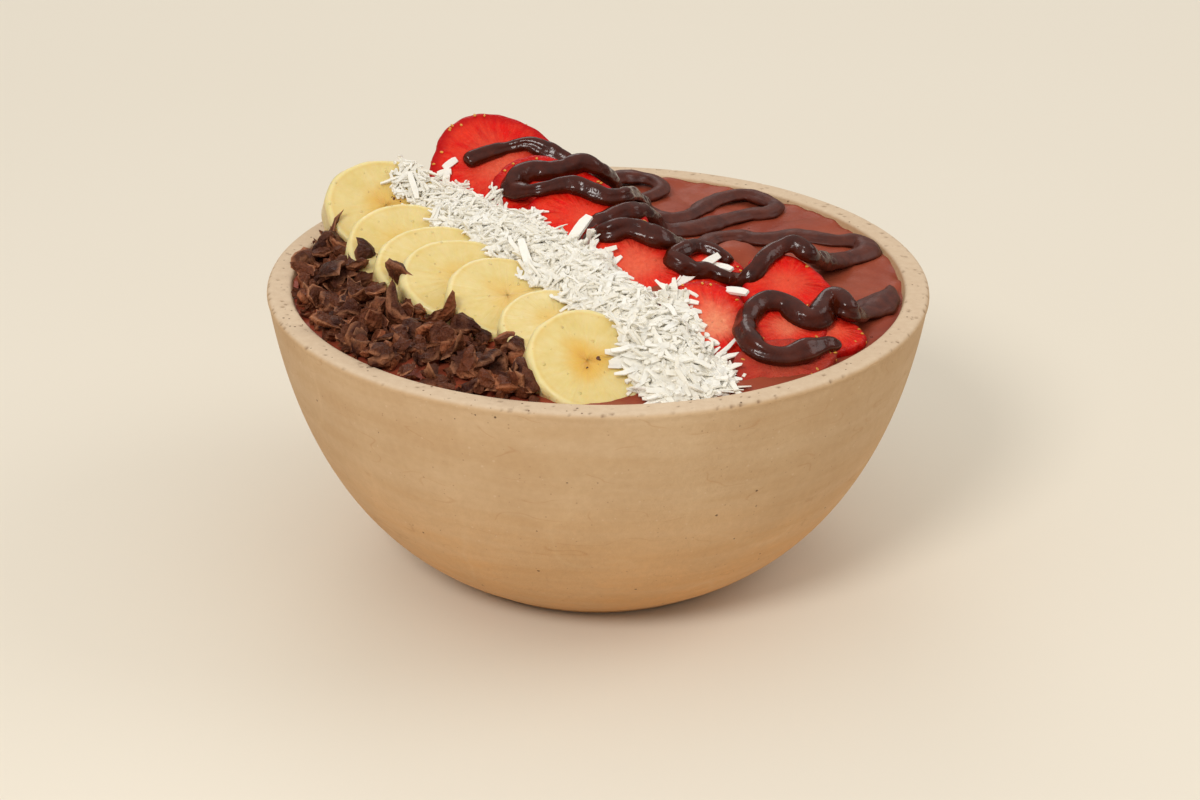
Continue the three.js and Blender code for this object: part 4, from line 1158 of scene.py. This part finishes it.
def shard_points(count, draw, size, rows, columns):
    """Broken shards: the space inside eleven random planes, read out along the directions of a
    ball, squeezed flat, notched round the edge, and bent like a piece of shell: the height gains
    bend times x squared and y squared, and twist times x times y. Gives the points, the faces,
    which points are on the shell side, and how near each is to the broken edge."""
    polar = np.linspace(0, math.pi, rows)
    turn = np.linspace(0, 2 * math.pi, columns, endpoint=False)
    p, t = np.meshgrid(polar, turn, indexing="ij")
    ball = np.stack([np.sin(p) * np.cos(t), np.sin(p) * np.sin(t), np.cos(p)], -1).reshape(-1, 3)
    planes = unit(draw.normal(0, 1, (count, 11, 3)))
    far = draw.uniform(0.5, 1.0, (count, 11))
    facing = np.einsum("kj,npj->nkp", ball, planes)
    reach = np.min(far[:, None, :] / np.maximum(facing, 0.12), axis=2)
    reach = np.minimum(reach, 1.25)
    start = draw.uniform(0, 2 * math.pi, (count, 2))
    notch = (0.10 * np.sin(3 * t.ravel()[None] + start[:, :1])
             + 0.09 * np.sin(5 * t.ravel()[None] + start[:, 1:]))
    reach = reach * (1 + notch * np.sin(p).ravel()[None])
    points = ball[None] * reach[..., None]
    thin = np.where(draw.uniform(0, 1, count) < 0.35, draw.uniform(0.18, 0.3, count),
                    draw.uniform(0.4, 0.75, count))
    scale = np.stack([np.ones(count), draw.uniform(0.55, 0.95, count), thin], axis=1)
    points = points * scale[:, None, :]
    bend = draw.uniform(-0.7, 0.7, count)[:, None]
    twist = draw.uniform(-0.5, 0.5, count)[:, None]
    points[..., 2] += bend * points[..., 0] ** 2 + 0.8 * bend * points[..., 1] ** 2
    points[..., 2] += twist * points[..., 0] * points[..., 1]
    points += draw.normal(0, 0.04, points.shape) * np.sin(p).ravel()[None, :, None]
    shell = np.repeat(np.cos(p).ravel()[None] > 0.1, count, axis=0)
    # How near the broken edge: there the nib is painted paler, partly as a painted highlight.
    rim = np.exp(-((np.cos(p).ravel()[None] / 0.16) ** 2)) * np.where(thin < 0.32, 1, 0.5)[:, None]
    return (points * size[:, None, None],
            copies_of_quads(grid_quads(rows, columns), rows * columns, count), shell, rim)


def random_turns(count, draw, tilt):
    """Turning matrices: any way round, tipped by up to about tilt radians."""
    a = draw.uniform(0, 2 * math.pi, count)
    b = draw.normal(0, tilt, count)
    c = draw.normal(0, tilt, count)
    ca, sa, cb, sb, cc, sc = np.cos(a), np.sin(a), np.cos(b), np.sin(b), np.cos(c), np.sin(c)
    zero, one = np.zeros(count), np.ones(count)
    about_z = np.stack([ca, -sa, zero, sa, ca, zero, zero, zero, one], 1).reshape(-1, 3, 3)
    about_y = np.stack([cb, zero, sb, zero, one, zero, -sb, zero, cb], 1).reshape(-1, 3, 3)
    about_x = np.stack([one, zero, zero, zero, cc, -sc, zero, sc, cc], 1).reshape(-1, 3, 3)
    return about_z @ about_y @ about_x


def nib_spots(count, draw):
    """Random points of the bed between the wall and the banana slices. A point is inside when
    a line from it crosses the bed's outline an odd number of times."""
    corners = np.array(NIB_BED, float)
    first, last = corners[0], corners[-1]
    begin, end = math.atan2(last[1], last[0]), math.atan2(first[1], first[0]) - 2 * math.pi
    sweep = np.linspace(begin, end, 30)
    ring = NIB_BED_RADIUS * np.stack([np.cos(sweep), np.sin(sweep)], 1)
    shape = np.vstack([corners, ring])
    x, y = draw.uniform(-78, -8, count * 8), draw.uniform(-78, 26, count * 8)
    ax, ay = shape[:, 0], shape[:, 1]
    bx, by = np.roll(ax, -1), np.roll(ay, -1)
    crossing = (ay[:, None] > y) != (by[:, None] > y)
    rise = np.where(by == ay, 1e-9, by - ay)[:, None]
    at = ax[:, None] + (bx - ax)[:, None] * (y - ay[:, None]) / rise
    inside = np.sum(crossing & (x < at), axis=0) % 2 == 1
    inside &= np.hypot(x, y) < NIB_BED_RADIUS
    return x[inside][:count], y[inside][:count]


def make_nibs(material):
    """Shards over the bed, the small ones below and the large ones on top, with crumbs between
    them, and the single large ones that lean on the fruit."""
    draw = np.random.default_rng(NIB_DRAW)
    single = np.array([row[0] for row in SINGLE_NIBS], float)
    layers = []
    for count, low, high, smallest, largest in NIB_LAYERS:
        x, y = nib_spots(count, draw)
        size = draw.uniform(smallest, largest, len(x))
        height = acai_level(x, y) + draw.uniform(low, high, len(x)) + 0.3 * size
        layers.append((np.stack([x, y, height], 1), size, 9 if largest > 3 else 6))
    layers.append((single, np.array([row[1] for row in SINGLE_NIBS]), 11))
    parts, marks, start, faces = [], [], 0, []
    for centres, size, rows in layers:
        columns = rows + 4
        out = np.hypot(centres[:, 0], centres[:, 1])
        most = np.where(centres[:, 2] < NIB_HIGH_FROM, NIB_LOW_REACH, NIB_HIGH_REACH) - 0.8 * size
        centres[:, :2] *= np.minimum(1, most / out)[:, None]
        points, quads, shell, rim = shard_points(len(centres), draw, size, rows, columns)
        turns = random_turns(len(centres), draw, NIB_TILT)
        points = centres[:, None, :] + np.einsum("nij,nkj->nki", turns, points)
        tone = np.repeat(draw.uniform(0, 1, len(centres)) ** 1.3, rows * columns)
        parts.append(points.reshape(-1, 3))
        marks.append(np.stack([tone, shell.ravel(), rim.ravel()], 1))
        faces.append(quads + start)
        start += len(parts[-1])
    return new_piece("cacao_nib_shards", np.concatenate(parts), np.concatenate(faces), material,
                     {"shard": np.concatenate(marks)}, smooth=False)


def make_sauce(name, route, widths, seed, material):
    """A section carried along the route: rounded and about 6 mm wide on the fruit, flatter and
    wider where it lies on the acai, fuller in the bends, with lengthwise folds. widths gives
    factors at even steps of the length. The ends are rounded off."""
    path, run = smooth_route(route, SAUCE_STEP)
    kernel = np.hanning(9)
    kernel /= kernel.sum()
    path = np.stack([np.convolve(np.pad(path[:, k], 4, mode="edge"), kernel, mode="valid")
                     for k in range(3)], axis=1)
    ahead = unit(np.gradient(path, axis=0))
    side = unit(np.cross(ahead, np.array([0, 0, 1.0])))
    up = np.cross(side, ahead)
    wet = smooth_step(path[:, 2] - acai_level(path[:, 0], path[:, 1]), 1.8, 4.5)
    total = run[-1]
    from_end = np.clip(1 - np.minimum(run, total - run) / SAUCE_END, 0, 1)
    end = np.sqrt(np.clip(1 - from_end ** 2, 0.0004, 1))
    wide = np.interp(run / total, np.linspace(0, 1, len(widths)), widths)
    bend = np.linalg.norm(np.gradient(ahead, axis=0), axis=1) / SAUCE_STEP
    bend = np.convolve(np.pad(bend, 10, mode="edge"), np.ones(21) / 21, mode="valid")
    swell = 1 + 0.16 * ripple(run, 0 * run, seed, 24) + 0.05 * ripple(run, 0 * run, seed + 1, 7)
    swell = swell + 0.1 * smooth_step(bend, 0.08, 0.3)
    half_wide = (SAUCE_HALF_WIDE[0] + SAUCE_HALF_WIDE[1] * wet) * swell * wide * end
    half_high = (SAUCE_HALF_HIGH[0] + SAUCE_HALF_HIGH[1] * wet) * swell * np.minimum(1, wide) * end
    turn = np.linspace(0, 2 * math.pi, SAUCE_AROUND, endpoint=False)[None, :]
    drift = 0.5 * ripple(run, 0 * run, seed + 2, 30)[:, None]
    lean = 0.35 * ripple(run, 0 * run, seed + 3, 22)[:, None]
    fold = (1 + 0.12 * np.cos(3 * (turn - math.pi / 2) + lean)
            + 0.04 * np.cos(5 * turn - 3 * drift) + 0.012 * np.cos(9 * turn + 4 * drift))
    fold = fold + 0.03 * ripple(3 * np.cos(turn) + 0 * run[:, None],
                                3 * np.sin(turn) + run[:, None], seed + 4, 5)
    points = (path[:, None, :]
              + side[:, None, :] * (half_wide[:, None] * np.cos(turn) * fold)[..., None]
              + up[:, None, :] * (half_high[:, None] * np.sin(turn) * fold)[..., None])
    points = np.concatenate([np.broadcast_to(path[:1, None, :], points[:1].shape), points,
                             np.broadcast_to(path[-1:, None, :], points[:1].shape)])
    wet = np.concatenate([wet[:1], wet, wet[-1:]])
    marks = {"wet": np.repeat(wet, SAUCE_AROUND)}
    return new_piece(name, points, grid_quads(len(points), SAUCE_AROUND), material, marks)


# Studio

def set_camera():
    """The camera of the photograph: its place, and its look from pitch, yaw and roll."""
    forward = Vector((math.sin(CAMERA_YAW) * math.cos(CAMERA_PITCH),
                      math.cos(CAMERA_YAW) * math.cos(CAMERA_PITCH), -math.sin(CAMERA_PITCH)))
    right = forward.cross(Vector((0, 0, 1))).normalized()
    upward = right.cross(forward)
    c, s = math.cos(CAMERA_ROLL), math.sin(CAMERA_ROLL)
    right, upward = c * right + s * upward, c * upward - s * right
    camera = bpy.data.objects.new("camera", bpy.data.cameras.new("camera"))
    camera.data.sensor_width = CAMERA_SENSOR
    camera.data.lens = CAMERA_LENS
    camera.data.clip_start = 0.01
    turn = Matrix((right, upward, -forward)).transposed().to_4x4()
    camera.matrix_world = Matrix.Translation(Vector(CAMERA_PLACE) * MM) @ turn
    bpy.context.scene.collection.objects.link(camera)
    bpy.context.scene.camera = camera


def add_light(name, place, size, power, colour):
    """A round soft light, turned to look at the middle of the bowl."""
    light = bpy.data.objects.new(name, bpy.data.lights.new(name, "AREA"))
    light.data.shape = "DISK"
    light.data.size = size
    light.data.energy = power
    light.data.color = colour
    light.location = place
    look = Vector(LIGHT_TARGET) - Vector(place)
    light.rotation_euler = look.to_track_quat("-Z", "Y").to_euler()
    bpy.context.scene.collection.objects.link(light)


def make_studio():
    """A large pale floor, a warm surround that darkens towards the floor, and the lights."""
    finish = Finish("pale_floor", Roughness=0.9, Specular_IOR_Level=0.2)
    cloud = finish.group("mottle", Scale=2.0, Detail=2.0, Contrast=0.3)
    finish.use(Base_Color=finish.blend(cloud, linear(230, 221, 204), linear(233, 225, 210)))
    points = [(x * FLOOR_HALF, y * FLOOR_HALF, 0) for x, y in ((-1, -1), (1, -1), (1, 1), (-1, 1))]
    floor = new_piece("floor", points, [(0, 1, 2, 3)], finish.material)
    world = bpy.data.worlds.new("surround")
    world.use_nodes = True
    background = world.node_tree.nodes["Background"]
    background.inputs["Color"].default_value = SURROUND_COLOUR
    add, join = node_tree_tools(world.node_tree)
    direction = add("ShaderNodeTexCoord").outputs["Generated"]
    rise = add("ShaderNodeSeparateXYZ", {"Vector": direction}).outputs["Z"]
    glow = add("ShaderNodeMapRange", {"Value": rise, "To Min": SURROUND_LOW,
                                      "To Max": SURROUND_HIGH})
    join(glow.outputs[0], background.inputs["Strength"])
    bpy.context.scene.world = world
    for light in LIGHTS:
        add_light(*light)
    bpy.context.scene.view_settings.view_transform = "Standard"
    bpy.context.scene.view_settings.look = "None"


def dress(piece, slot, *nodes):
    """Fix a piece to the body and let it replace its solids; slot is not used."""
    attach(piece, "root")
    if nodes:
        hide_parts(*nodes)


def main():
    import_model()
    GROUPS.update(specks=specks_group(), mottle=mottle_group(), relief=relief_group(),
                  hairlines=hairlines_group())
    set_camera()
    make_studio()
    dress(make_bowl(cast_stone()), "bowl", "bowl")
    dress(make_acai(acai_blend()), "acai", "acai")
    for piece, node in make_bananas(banana_flesh()):
        dress(piece, "banana", node)
    for piece, node in make_berries(strawberry_flesh()):
        dress(piece, "strawberry", node)
    seed_gold = plain_finish("berry_seed", linear(240, 168, 58), Roughness=0.3)
    dress(make_berry_seeds(seed_gold), "strawberry")
    seed_brown = plain_finish("banana_seed", linear(104, 54, 20), Roughness=0.35)
    dress(make_banana_seeds(seed_brown), "banana")
    white = coconut_white()
    dress(make_coconut_shreds(white), "coconut", "coconut")
    dress(make_coconut_heap(white), "coconut", "coconut")
    dress(make_nibs(cacao()), "nibs", "nibs")
    sauce = chocolate()
    for name, route, widths, seed in (
            ("chocolate_zigzag", SAUCE_MAIN, SAUCE_MAIN_WIDTHS, SAUCE_MAIN_DRAW),
            ("chocolate_front_run", SAUCE_FRONT, SAUCE_FRONT_WIDTHS, SAUCE_FRONT_DRAW)):
        dress(make_sauce(name, route, widths, seed, sauce), "strawberry")


main()
